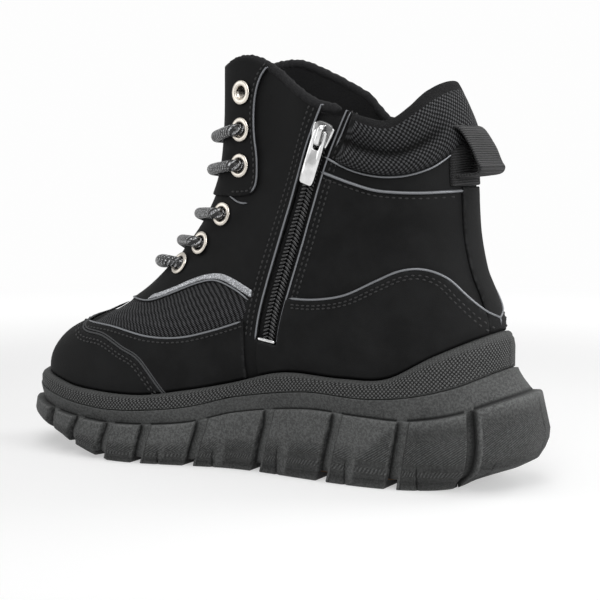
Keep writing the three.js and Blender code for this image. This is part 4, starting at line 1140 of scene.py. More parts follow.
def sag(p):
    """Creases and softness of the worn upper: shallow waves across the ankle's bend and the vamp."""
    x, y, z = p[..., 0], p[..., 1], p[..., 2]
    out = 0 * x
    for (x0, z0), (x1, z1), deep, wide in CREASES:
        a = np.array([side_x(x0), side_z(z0)])
        b = np.array([side_x(x1), side_z(z1)])
        run = b - a
        t = ((x - a[0]) * run[0] + (z - a[1]) * run[1]) / (run @ run)
        off = ((x - a[0]) * run[1] - (z - a[1]) * run[0]) / np.linalg.norm(run)
        off = off + CREASE_WANDER * np.sin(3.1 * t)
        ends = smooth(t / 0.3) * smooth((1 - t) / 0.3)
        out = out + deep * ends * np.where(y < 0, 1, 0.8) * np.exp(-(off / wide) ** 2)
    return out


# Creases, one by one: from and to on the side in hundredths, depth and half breadth in millimetres
CREASE_WANDER = 1.6
CREASES = [((-22, 42), (-6, 46), -0.9, 2.4), ((-19, 38.5), (-4, 41.5), 0.5, 3.0),
           ((-14, 50), (-1, 52), -0.7, 2.2), ((-10, 56), (2, 57), 0.5, 2.8),
           ((16, 46), (34, 55), -0.5, 3.5), ((18, 56), (40, 58), 0.5, 4.5),
           ((-36, 16), (-24, 9), -0.3, 3.0), ((14, 24), (34, 19), 0.35, 5.0)]


def recess(p):
    """The mesh window lies lower than the panels round it, with a soft shoulder."""
    return -RECESS * smooth(in_window(p) / 0.9)


class BOOT_OT_upper(BootStep, bpy.types.Operator):
    """Hollow upper: nubuck outside, fleece inside, open at collar, throat, zip and underneath"""
    bl_idname = "boot.upper"
    bl_label = "Upper"

    def make(self, context):
        columns, rows = 300, 110
        s, level = np.meshgrid(np.arange(columns) * 2 / columns, np.linspace(0, 1, rows))
        data = np.stack([s, level], -1).reshape(-1, 2)
        faces = halves(grid_faces(rows, columns, True))

        def slit(p):
            return np.where(p[..., 1] < 0, -in_slit(p), FAR)
        for field in (throat_field, slit, eyelet_field):
            data, faces = trim(data, faces, field(face(data[:, 0], data[:, 1])))
        s, level = data.T
        p = face(s, level)
        edge = np.minimum(throat_field(p), slit(p))
        outer = shell(s, level, sag(p) + recess(p))
        loft = 0.25 * np.sin(31 * s) * np.sin(23 * level + 9 * s) * smooth(level / 0.3)
        inner = shell(s, level, -WALL + loft)
        points, wall = walled(outer, inner, faces)
        kind = np.zeros(len(wall), int)
        kind[len(faces):2 * len(faces)] = 1
        piece("upper_shell", points, wall, [nubuck(), fleece()], kind=kind,
              marks={"edge": np.tile(edge, 2)}, replaces=["upper"])
        self.insole()

    def insole(self):
        """Footbed: rings from its edge in to the middle line, both faces."""
        s = np.arange(120) * 2 / 120
        edge = face(s, 0.0) + (outline(s, 1, 0) - outline(s, 0, 0)) * (-WALL - 2 * GAP)
        edge[:, 2] = face(s, 0.0)[:, 2]
        rings = []
        for share, rise in ((1, GAP), (1, GAP + INSOLE_THICKNESS - 0.6), (0.985, GAP + INSOLE_THICKNESS)):
            ring = edge * [share, share, 1] + [0, 0, rise]
            ring[:, 0] = mix(edge[:, 0].mean(), edge[:, 0], share)
            rings.append(ring)
        points = np.concatenate(rings)
        faces = np.concatenate([grid_faces(3, 120, True), ring_cap(120, 0, False), ring_cap(120, 240, True)])
        piece("footbed", points, faces, fleece(), replaces=["insole"])


def corner_line(*points):
    return np.array([[side_x(x), side_z(z)] for x, z in points])


class BOOT_OT_overlays(BootStep, bpy.types.Operator):
    """Panels on the upper: toe cap, mudguards, counters, facings and the strip up the heel"""
    bl_idname = "boot.overlays"
    bl_label = "Overlays"

    def make(self, context):
        self.add("toe_cap_panel", (0.56, 1.44), (FEATHER, 0.5), (240, 56), [self.toe], ["toe_cap"])
        for name, side, span in (("medial", -1, (0.0, 1.0)), ("lateral", 1, (1.0, 2.0))):
            def own(p, side=side):
                return p[..., 1] * side + 1.0
            self.add(f"mudguard_{name}_panel", self.part(span, 0.34, 0.86), (FEATHER, 0.42), (190, 40),
                     [self.mudguard], [f"mudguard_{name}"])
            fields = [self.counter, self.beside_backstay] + ([self.clear_of_zip] if side < 0 else [])
            self.add(f"counter_{name}_panel", self.part(span, 0.01, 0.46), (FEATHER, 0.52), (170, 64), fields,
                     [f"counter_{name}"])
            self.add(f"facing_{name}_panel", self.part(span, 0.42, 0.9), (0.5, 1.0), (110, 120),
                     [self.facing, throat_field, eyelet_field, own], [f"eyestay_{name}"])
        self.add("heel_strip", (-0.13, 0.13), (FEATHER, 0.82), (30, 90), [self.strip], ["backstay"])

    def part(self, span, low, high):
        return (low, high) if span[0] == 0 else (2 - high, 2 - low)

    def add(self, name, s_range, levels, counts, fields, nodes):
        points, faces, uv, edge = sheet(s_range, levels, counts, fields, GAP + OVERLAY, 0.04, 0.6, sag)
        piece(name, points, faces, nubuck(), uv=uv, marks={"edge": edge}, replaces=nodes)

    def toe(self, p):
        line = side_line(TOE_CAP_EDGE)
        return within(np.concatenate([line, [[-FAR, 0], [-FAR, line[0, 1]]]]))(p)

    def mudguard(self, p):
        foot = corner_line(SEAM_FOOT)
        low, toe = side_line(WINDOW_LOW), side_line(TOE_CAP_EDGE)
        return within(np.concatenate([low, foot, beside(toe, -2 * GAP)[::-1]]))(p)

    def counter(self, p):
        foot, head = corner_line(SEAM_FOOT, WINDOW_LOW[-1]) + [2 * GAP, 0]
        return within(np.concatenate([[[foot[0], 0]], [head], side_line(COUNTER_ARCH), [[FAR, 0]]]))(p)

    def beside_backstay(self, p):
        return np.abs(p[..., 1]) - BACKSTAY_WIDTH / 2 - GAP

    def clear_of_zip(self, p):
        return -in_slit(p)

    def facing(self, p):
        edge = side_line(EYESTAY_EDGE)
        front = np.array([[-FAR / 2, edge[-1, 1]], [-FAR / 2, FAR], [edge[0, 0], FAR]])
        return within(np.concatenate([edge, front]))(p)

    def strip(self, p):
        return np.minimum(BACKSTAY_WIDTH / 2 - np.abs(p[..., 1]), side_z(LOOP_FOOT) - 2 * GAP - p[..., 2])


class BOOT_OT_windows(BootStep, bpy.types.Operator):
    """Mesh panels in the recesses of the vamp, and the padded tongue"""
    bl_idname = "boot.windows"
    bl_label = "Windows and tongue"

    def make(self, context):
        pitch = mm(sizes().net_pitch)
        coarse = net("window_net", pitch, 1.0, 1.45, 0.42, 0.72)
        for name, span in (("medial", (0.44, 0.86)), ("lateral", (1.14, 1.56))):
            def inner(p):
                return in_window(p) - 0.25

            def ripple(p):
                wave = np.sin(in_window(p) * 2 * np.pi / 4.4)
                return sag(p) + 0.22 * wave * smooth(in_window(p) / 4)
            points, faces, uv, edge = sheet(span, (FEATHER, 0.6), (200, 80), [inner], -RECESS + 0.3,
                                            -RECESS - 0.2, 0.3, ripple)
            piece(f"window_{name}", points, faces, coarse, uv=uv, marks={"edge": edge})
        self.tongue()

    def tongue(self):
        """Padded tongue: a sheet under the throat whose edge is rounded over half its thickness."""
        def trimmed(p):
            sides = TONGUE_WIDTH / 2 - np.abs(p[..., 1])
            ends = np.minimum(p[..., 2] - side_z(34), side_z(93) - p[..., 2])
            return np.minimum(np.minimum(sides, ends), side_x(14) - p[..., 0])
        outer = -WALL - TONGUE_GAP
        points, faces, uv, edge = sheet((0.68, 1.32), (0.5, 0.985), (80, 110), [trimmed], outer,
                                        outer - TONGUE_THICKNESS, 2.2)
        made = piece("tongue_pad", points, faces, net("tongue_net", 1.5, 1.0, 0.7, 0.3, 0.7), uv=uv,
                     marks={"edge": edge}, replaces=["tongue"])


# The pad's section: share of its height, thickness out of the wall and rise above it
PAD_ROLLS = """share out rise
0 0.12 0
0.04 0.6 0
0.14 0.86 0
0.27 0.94 0
0.4 0.72 0
0.5 0.36 0
0.6 0.62 0
0.72 1.02 0
0.84 1.1 0
0.93 0.9 0.25
0.98 0.6 0.6
1 0.34 0.85"""
PAD_PLAIN = """share out rise
0 0.12 0
0.05 0.45 0
0.2 0.66 0
0.5 0.74 0
0.75 0.7 0
0.9 0.56 0.25
0.97 0.4 0.6
1 0.26 0.85"""
PAD_IN = """share out rise
0 0.1 0
0.15 0.55 0
0.45 0.85 0
0.75 0.9 0
0.93 0.62 0.3
1 0.36 0.78"""
PAD_FOOT = """x z
14 77.4
19.4 74.2
21.7 72.4
24.6 70.5
28 69.2
31.2 68.8
34.5 69.3
37.4 71
39.2 73.2
40.8 76.4
41.3 80
41.8 84
42.6 85.2
46 85.5"""


class BOOT_OT_collar(BootStep, bpy.types.Operator):
    """Padded mesh collar round the ankle and the fuzzy binding along the collar's front"""
    bl_idname = "boot.collar"
    bl_label = "Collar"

    def foot(self, s):
        """Level of the pad's foot at each place, by halving."""
        low_line = curves(PAD_FOOT)["z"]
        low, high = np.full(s.shape, 0.5), np.ones(s.shape)
        for _ in range(24):
            level = (low + high) / 2
            p = face(s, level)
            below = p[:, 2] < side_z(low_line(p[:, 0] / UPPER_LENGTH * 100))
            low, high = np.where(below, level, low), np.where(below, high, level)
        return low

    def make(self, context):
        border_s, border_level = on_side(side_line(PAD_FRONT))
        rolls, plain, inside = curves(PAD_ROLLS), curves(PAD_PLAIN), curves(PAD_IN)
        up, down = np.linspace(0, 1, 46), np.linspace(1, 0, 24)
        w = np.linspace(-1, 1, 261)
        order = np.argsort(border_level)
        edge_foot = self.foot(np.interp([0.7, 0.8], border_level[order], border_s[order])).mean()

        def place(share):
            level_there = mix(edge_foot, 1, share)
            return w * np.interp(level_there, border_level[order], border_s[order])
        end = np.sqrt(np.clip((1 - np.abs(w)) / 0.045, 0.02, 1))
        side = smooth((np.abs(w) - 0.2) / 0.3)
        swell = mix(0.75, 0.3, smooth((np.abs(w) - 0.3) / 0.3))
        rows, soft, trough_shade = [], [], []
        for share, outside in ((up, True), (down, False)):
            for k in share:
                s = place(k)
                level = mix(self.foot(s), 1, k)
                full = mix(plain["out"](k), rolls["out"](k), side) if outside else inside["out"](k)
                rise = rolls["rise"](k) if outside else inside["rise"](k)
                puff = 0.25 * np.sin(w * 23 + 3 * k) * np.sin(np.pi * k)
                fold = 0 if outside else 1.3 * np.sin(w * 31 + 1.5 * k) ** 3 * np.sin(np.pi * k)
                d = 0.12 + full * PAD_THICKNESS * end + puff + fold
                p = shell(s % 2, level, d if outside else -WALL - d)
                p[:, 2] += rise * PAD_RISE * end * swell
                rows.append(p)
                soft.append(not outside or k > 0.88)
                # Fold mark: painted shade along the trough in the middle of the pad's outer face.
                trough_shade.append(outside * side * np.exp(-((k - 0.5) / 0.075) ** 2))
        grid = np.array(rows)
        run, rise = chart(grid)
        n = len(w)
        points = grid.reshape(-1, 3)
        faces = halves(grid_faces(len(rows) + 1, n)) % len(points)
        lined = np.array(soft)[faces.min(1) // n]
        ends = []
        for j in (0, n - 1):
            ring = np.arange(len(rows)) * n + j
            points = np.concatenate([points, points[ring].mean(0)[None]])
            fan = np.stack([ring, np.roll(ring, -1), 0 * ring + len(points) - 1], -1)
            ends.append(fan if j == 0 else fan[:, ::-1])
        faces = np.concatenate([faces] + ends)
        kind = np.concatenate([lined.astype(int), np.zeros(len(faces) - len(lined), int)])
        uv = np.concatenate([np.stack([run, rise], -1).reshape(-1, 2), np.zeros((2, 2))])
        made = piece("collar_padding", points, faces, [net("collar_net", 2.2, 0.9, 1.1, 0.36, 0.8), fleece()],
                     uv=uv, kind=kind, replaces=["collar_pad"],
                     marks={"fold": np.concatenate([np.array(trough_shade).ravel(), [0, 0]])})
        self.binding()

    def binding(self):
        """Soft roll over the collar's edge from the throat to the zip, and its like on the far side."""
        radius = mm(sizes().binding)
        ring = np.linspace(0.5, 1, 600)
        corner_at = ring[np.argmax(throat_field(face(ring, 1.0)) < 0)] - 0.004
        parts = []
        for first, last in ((corner_at, 0.405), (2 - corner_at, 1.66)):
            s = np.linspace(first, last, 140)
            path, n = shell(s, 1.0, -WALL / 2 + 0 * s), outward(s, 1.0 + 0 * s)
            path[:, 2] -= 0.5
            far = np.minimum(np.abs(s - first), np.abs(s - last))
            fuzz = 1 + 0.06 * np.sin(s * 330) + 0.05 * np.sin(s * 171)
            parts.append(tube(path, n, radius * fuzz * np.sqrt(np.clip(far / 0.02, 0.03, 1)), 16, 0.85))
        points, faces = joined([(p, f) for p, f, _ in parts])
        piece("collar_binding", points, faces, fleece("binding_fleece", 1.9),
              uv=np.concatenate([u for _, _, u in parts]))


class BOOT_OT_pull_loop(BootStep, bpy.types.Operator):
    """Webbing strip up the heel with the fold that hangs out as a loop"""
    bl_idname = "boot.pull_loop"
    bl_label = "Pull loop"

    def make(self, context):
        half = WEBBING_WIDTH / 2

        def strip(p):
            return np.minimum(half - np.abs(p[..., 1]), np.minimum(
                p[..., 2] - side_z(LOOP_FOOT), side_z(LOOP_HEAD) - p[..., 2]))
        points, faces, uv, _ = sheet((-0.16, 0.16), (0.55, 0.995), (40, 90), [strip], GAP + WEBBING, 0.05,
                                     0.7)
        fold = self.fold(half)
        both, triangles = joined([(points, faces), fold[:2]])
        piece("webbing_loop", both, triangles, webbing(),
              uv=np.concatenate([uv[:, ::-1], fold[2]]), replaces=["pull_loop"])

    def fold(self, half):
        """Band of webbing: a rounded flat section carried along the fold's line in the side plane,
        from the strip's head out to the tip and back to its foot, its ends bent to the heel."""
        back = face(0.0, 0.78)[0]
        foot, head = side_z(LOOP_FOOT), side_z(LOOP_HEAD) - WEBBING
        inset = WEBBING / 2
        tip = back + LOOP_REACH - 3.2
        line = spline([(back - 3.5, head - inset), (back + 1.5, head - inset - 0.6),
                       (back + 5.6, mix(head, foot, 0.3)), (tip - 2.6, mix(head, foot, 0.6)),
                       (tip - inset, foot + 8.2), (tip - 1.6, foot + 5.9),
                       (back + 6, foot + 5.0), (back + 1, foot + 4.4), (back - 3, foot + 4.0)], 0.5)
        run = unit(np.gradient(line, axis=0))
        normal = np.stack([run[:, 1], -run[:, 0]], -1)
        angle = np.linspace(0, 2 * np.pi, 28, endpoint=False)
        cos, sin = np.cos(angle), np.sin(angle)
        across = np.sign(cos) * np.abs(cos) ** 0.25 * half
        thick = np.sign(sin) * np.abs(sin) ** 0.6 * inset
        spot = line[:, None] + normal[:, None] * thick[None, :, None]
        y = np.broadcast_to(across, spot.shape[:2])
        far = np.linspace(0, 1, len(line))[:, None]
        hold = np.maximum(1 - far / 0.4, (far - 0.55) / 0.3).clip(0, 1) ** 1.2
        curve = (np.sqrt(np.maximum(0, 40.0 ** 2 - y ** 2)) - 40.0) * hold
        points = np.stack([spot[..., 0] + curve, y, spot[..., 1]], -1)
        n = len(angle)
        length_along = run_length(line)
        uv = np.stack(np.broadcast_arrays(length_along[:, None], y), -1).reshape(-1, 2)
        faces = halves(grid_faces(len(line), n, True))
        last = (len(line) - 1) * n
        ends = np.concatenate([halves(ring_cap(n, 0, False)), halves(ring_cap(n, last, True))])
        return points.reshape(-1, 3), np.concatenate([faces, ends]), uv


def sole_spread(name, t):
    return sole[name](t) / 100 * SOLE_SPREAD


def sole_height(name, t):
    return sole[name](t) / 100 * SOLE_LIFT


def floor_at(t):
    return np.where(t < FLAT_SPRING, 0, sole_height("floor", t))


# Heights of the rings on a lug's face, as shares of it, and the top of the slit in its foot
LUG_RINGS = (1.0, 0.993, 0.985, 0.97, 0.955, 0.9, 0.82, 0.72, 0.6, 0.5, 0.4, 0.3, 0.22, 0.14, 0.07, 0.02, 0.0)
SLIT_TOP = 0.45


class BOOT_OT_sole(BootStep, bpy.types.Operator):
    """Outsole with its slanted lugs, the plate between them, and the knurled midsole"""
    bl_idname = "boot.sole"
    bl_label = "Sole"

    def make(self, context):
        self.outsole()
        self.plate()
        self.midsole()

    def groove_centres(self):
        """Places round the ring of each groove at the floor and at the lugs' top."""
        found = []
        for lateral in (False, True):
            s = np.linspace(0, 1, 2001)
            s = 2 - s if lateral else s
            rim = outline(s, sole_spread("brow", along(s)), 0)
            for top, tread in GROOVES:
                places = [np.interp(-side_x(x), -rim[:, 0], s) for x in (tread, top)]
                found.append(places)
            centre = side_x(TOE_GROOVE_CENTRE)
            turn = np.degrees(np.arctan2(np.abs(rim[:, 1]), centre - rim[:, 0]))
            front = np.abs(s - 1) < 0.35
            order = np.argsort(turn[front])
            for angle in TOE_GROOVE_ANGLES[1:]:
                at = np.interp(angle, turn[front][order], s[front][order])
                found.append([at, at])
        return np.array(sorted(found))

    def columns(self):
        """Places round the ring, close together at the grooves' walls, with the lean of the
        grooves there, the signed distance to the nearest groove and which way the heel lies."""
        centres = self.groove_centres()
        mean = centres.mean(1)
        dense = np.linspace(0, 2, 4001)
        ring = outline(dense, sole_spread("brow", along(dense)), 0)
        far = run_length(ring)
        at = np.interp(mean, dense, far)
        heelward = np.where(mean < 1, -1.0, 1.0)
        half = GROOVE_WIDTH / 2
        before = np.array([-0.9, -0.35, 0, 0.3, 1]) - half
        beyond = np.array([-0.3, 0, 0.3, 1.2, 1.6, 1.75, 1.95, 2.4, 8, 8.5, 9, 9.5, 10]) + half
        steps = np.concatenate([before, [0], beyond])
        walls = (at[:, None] + heelward[:, None] * steps).ravel()
        even_steps = np.linspace(0, far[-1], 420, endpoint=False)
        spots = np.sort(np.concatenate([walls % far[-1], even_steps]))
        spots = spots[np.concatenate([[True], np.diff(spots) > 0.12])]
        u = np.interp(spots, far, dense)
        leans = np.concatenate([[0], centres[:, 1] - centres[:, 0], [0]])
        lean = np.interp(u, np.concatenate([[0], mean, [2]]), leans)
        gap = (spots[:, None] - at + far[-1] / 2) % far[-1] - far[-1] / 2
        nearest = np.abs(gap).argmin(1)
        signed = gap[np.arange(len(spots)), nearest] * heelward[nearest]
        return u, lean, signed

    def outsole(self):
        u, lean, off = self.columns()
        half = GROOVE_WIDTH / 2
        reach = 2 * half + 1.7
        wall = smooth((off + half + 0.1) / 0.35)
        groove = wall * (1 - smooth((off - half + 0.2) / 0.5))
        slope = 1 - 0.86 * np.clip((off + half) / reach, 0, 1)
        ramp = wall * slope * (1 - smooth((off - half - 1.6) / 0.3))
        last = along(u) < 0.1
        ramp = np.where(last, groove, ramp)
        # Painted shade for the groove mark: darkest against each lug's steep wall, fading across the groove's
        # floor, with a thin dark line where the ramp meets the next lug; in the last groove, across its whole
        # breadth.
        shade = wall * np.exp(-(np.maximum(0, off + half - 0.6) / 1.5) ** 2)
        shade = np.maximum(shade, 0.7 * np.exp(-((off - half - 1.75) / 0.3) ** 2) * ~last)
        shade = np.where(last, groove * (0.45 + 0.55 * smooth((off - half + 2.4) / 1.4)), shade)

        def lug(h):
            low = np.maximum(0, h - 0.05)
            high = np.minimum(1, h + 0.05)
            knots = [0, KNEE_HEIGHT, BROW_HEIGHT, 1]

            def spread(share, t):
                values = np.stack([sole_spread(k, t) for k in ("tread", "knee", "brow", "shoulder")])
                k = np.clip(np.searchsorted(knots, share, side="right") - 1, 0, 2)
                a, b = values[k], values[k + 1]
                return mix(a, b, (share - knots[k]) / (knots[k + 1] - knots[k]))
            return lambda t: (spread(low, t) + spread(h, t) + spread(high, t)) / 3
        layers = []
        t = along(u)
        ends = [side_x(x) for x in CHANNEL_ENDS]

        def put(ring, mask, rib=0.0, edge=9.0):
            layers.append((ring, mask + 0 * u, rib + 0 * u, edge + 0 * u))

        def behind(t):
            return np.maximum(sole_spread("shoulder", t) - LUG_DEPTH, CUP_SEAT + CUP_WALL)

        def add(spread, height, share, mask, rib=0.0, edge=9.0):
            s = u + lean * (share - 0.5)
            put(outline(s, spread(along(s)), height(along(s))), mask, rib, edge)

        def top(t):
            return sole_height("lugTop", t)
        cup = outline(u, CUP_SEAT + GAP, face(u, 0.0)[:, 2] - FOOTBED - GAP)
        put(np.column_stack([np.clip(cup[:, 0], *ends), 0.02 * cup[:, 1], cup[:, 2]]), 0.0)
        put(cup, 0.0)
        put(outline(u, CUP_SEAT + GAP, sole_height("bandLow", t)), 0.0)
        # Band rows: a little darker all over, and painted shade in the row under the lugs' top edge where
        # they stand proud.
        for k in (0, 0.04, 0.2, 0.5, 0.85, 0.96, 1):
            add(lambda t: mix(mix(sole_spread("ledge", t), CUP_SIDE + 0.4, 0.8), behind(t), k ** 1.3),
                lambda t: mix(sole_height("bandLow", t), top(t), k), 1.0,
                np.maximum(0.2, (k > 0.95) * (1 - 0.75 * groove)))
        for h in LUG_RINGS:
            proud = lug(h)
            round_top = 0.9 * (1 - math.sqrt(max(0, 1 - ((h - 0.955) / 0.045) ** 2))) if h > 0.955 else 0
            round_low = 0.8 * (1 - h / 0.02 * 0.6) if h < 0.02 else 0
            cut = mix(groove, ramp, smooth(h / 0.25))
            slit = 0
            if h < SLIT_TOP:
                slit = 0.3 * np.exp(-((off - half - 9.5 + 3 * h) / (0.55 * (1 - h / SLIT_TOP))) ** 2)
            full = 1 - np.clip(cut + slit, 0, 1)

            def spread(t):
                core = mix(lug(h)(t) - LUG_DEPTH, behind(t), smooth((h - 0.7) / 0.3))
                return mix(core, proud(t) - round_top - round_low, full)

            def height(t):
                low = floor_at(t)
                sunk = low + TREAD_DEPTH * groove * (1 - smooth(h / 0.3))
                return np.maximum(mix(low, top(t), h), sunk)
            back_part = smooth((0.2 - t) / 0.05)
            lower = smooth((mix(0.62, 1.0, back_part) - h) / 0.2) * smooth((h - 0.04) / 0.06)
            rib = lower * (1 - wall * (off < half + 1.9)) * np.maximum(back_part, smooth((15 - off) / 4))
            # The slits in the lugs' feet add painted shade to the groove mark.
            add(spread, height, h, np.clip(shade + 1.6 * slit, 0, 1), rib,
                np.minimum(9, np.minimum(np.abs(off + half), (1 - h) * 12)))
        tread_line = layers[-1][0]
        hall = np.stack([np.clip(tread_line[:, 0], *ends),
                         np.clip(tread_line[:, 1], -TREAD_CHANNEL / 2, TREAD_CHANNEL / 2)], -1)
        low = floor_at(t)
        # Rows into the channel under the sole: painted shade that deepens towards its middle.
        for k in (0.04, 0.3, 0.6, 0.85, 0.97, 1.0):
            z = mix(tread_line[:, 2], low + TREAD_DEPTH * groove, min(1, k / 0.3))
            put(np.column_stack([mix(tread_line[:, :2], hall, k), z]), groove)
        floor_line = layers[-1][0][:, 2]
        for k in (0.3, 0.9, 1.0):
            put(np.column_stack([hall, mix(floor_line, low + TREAD_DEPTH, k)]), 0.6 * k)
        put(np.column_stack([hall[:, 0], 0.02 * hall[:, 1], low + TREAD_DEPTH]), 0.7)
        grid, *stacked = (np.array(column) for column in zip(*layers))
        run, rise = chart(grid)
        n = len(u)
        faces = halves(grid_faces(len(layers), n, True))[:, ::-1]
        points = grid.reshape(-1, 3)
        uv = np.stack([run, rise], -1).reshape(-1, 2)
        fans = []
        for row, turned in ((0, False), (len(layers) - 1, True)):
            ring = row * n + np.arange(n)
            points = np.concatenate([points, grid[row].mean(0)[None]])
            uv = np.concatenate([uv, [[0, 0]]])
            fan = np.stack([ring, np.roll(ring, -1), 0 * ring + len(points) - 1], -1)
            fans.append(fan if turned else fan[:, ::-1])
        faces = np.concatenate([faces] + fans)
        # The groove mark holds the painted shade; ribbed and edge mark the ribs and the wear.
        marks = {name: np.append(values, [values[0, 0], values[-1, -1]])
                 for name, values in zip(("groove", "ribbed", "edge"), stacked)}
        piece("lugged_outsole", points, faces, rubber(), uv=uv, marks=marks,
              replaces=["outsole"])

    def plate(self):
        """Plate over the grooves' floors, with cross ribs down the middle that reach the floor."""
        s = np.arange(240) * 2 / 240
        t = along(s)
        top = TREAD_DEPTH - 0.1
        spread = sole_spread("tread", t) - LUG_DEPTH + 0.3
        rings = [outline(s, spread, floor_at(t) + h) for h in (top, top - 1.2)]
        points = np.concatenate(rings)
        faces = np.concatenate([grid_faces(2, 240, True), ring_cap(240, 0, True), ring_cap(240, 240, False)])
        ribs = []
        half = TREAD_CHANNEL / 3
        for x in np.linspace(side_x(-38), side_x(41), 25):
            a = np.array([[x - 1.3, -half], [x + 1.3, -half], [x + 1.3, half], [x - 1.3, half]])
            z = 0.35 + max(0.0, (side_x(-24) - x) * 0.11)
            ring = [np.column_stack([a + unit(a - [x, 0]) * grow, np.full(4, z + h)])
                    for grow, h in ((0, top - 0.5), (0, 0.5), (-0.5, 0))]
            box_faces = np.concatenate([grid_faces(3, 4, True), [[3, 2, 1, 0], [8, 9, 10, 11]]])
            ribs.append((np.concatenate(ring), box_faces))
        points, faces = joined([(points, faces)] + ribs)
        piece("tread_ribs", points, faces, tread_rubber(), replaces=["tread_plate"],
              flat=True)

    def midsole(self):
        """Cup: seat, knurled side, rounded rim and the wall that meets the upper."""
        n = 480
        s = np.arange(n) * 2 / n
        t = along(s)
        rim = shell(s, FEATHER, GAP + OVERLAY)[:, 2] - 2 * GAP
        low = sole_height("bandLow", t) + GAP
        rings, knurl = [], []

        def add(ring, mark=0.0):
            rings.append(ring)
            knurl.append(mark + 0 * s)
        add(outline(s, CUP_SEAT, face(s, 0.0)[:, 2] - FOOTBED))
        add(outline(s, CUP_SEAT, low))
        add(outline(s, CUP_SIDE - 0.5, low))
        add(outline(s, CUP_SIDE, low + 0.4))
        for k in (0.06, 0.2, 0.4, 0.6, 0.74, 0.8):
            spread = np.interp(k, [0.06, 0.6, 1], [CUP_SIDE, CUP_SIDE, CUP_RIM + 0.4])
            add(outline(s, spread, mix(low, rim, k)), 1.0)
        for k, back in ((0.86, 0.1), (0.92, 0.35), (0.97, 0.95), (1.0, 2.0)):
            add(outline(s, CUP_RIM + 0.4 - back, mix(low, rim, k)), 0.5)
        inner = shell(s, FEATHER, GAP / 2)
        inner[:, 2] = rim - 0.3
        add(inner)
        add(shell(s, 0.0, GAP / 2))
        grid = np.array(rings)
        run, rise = chart(grid)
        points = grid.reshape(-1, 3)
        last = (len(rings) - 1) * n
        faces = np.concatenate([grid_faces(len(rings), n, True), ring_cap(n, 0, False),
                                ring_cap(n, last, True)])
        piece("cup_midsole", points, halves(faces), knurled_rubber(),
              uv=np.stack([run, rise], -1).reshape(-1, 2), marks={"knurled": np.array(knurl).ravel()},
              replaces=["midsole"])


def zip_matrix():
    """Frame on the zip at the slider: X down the chain, Z outward."""
    (s, s_end), (level, level_end) = locate([SLIDER_AT, PULL_END_AT])
    spot, out = shell(s, level, GAP), outward(s, level)
    down = unit(face(s_end, level_end) - spot)
    across = unit(np.cross(out, down))
    return spot, np.stack([down, across, np.cross(down, across)])


def lozenge(points, low, high, bevel):
    """Flat-topped plate of an outline, its upper and lower edges bevelled."""
    a = np.asarray(points, float)
    centre = a.mean(0)
    inner = a - unit(a - centre) * bevel
    n = len(a)
    layers = [(inner, low), (a, low + bevel), (a, high - bevel), (inner, high)]
    grid = np.concatenate([np.column_stack([r, np.full(n, z)]) for r, z in layers])
    grid = np.concatenate([grid, [[*centre, low], [*centre, high]]])
    j = np.arange(n)
    ends = np.concatenate([np.stack([(j + 1) % n, j, 0 * j + 4 * n], -1),
                           np.stack([3 * n + j, 3 * n + (j + 1) % n, 0 * j + 4 * n + 1], -1)])
    return grid, np.concatenate([halves(grid_faces(4, n, True))[:, ::-1], ends])


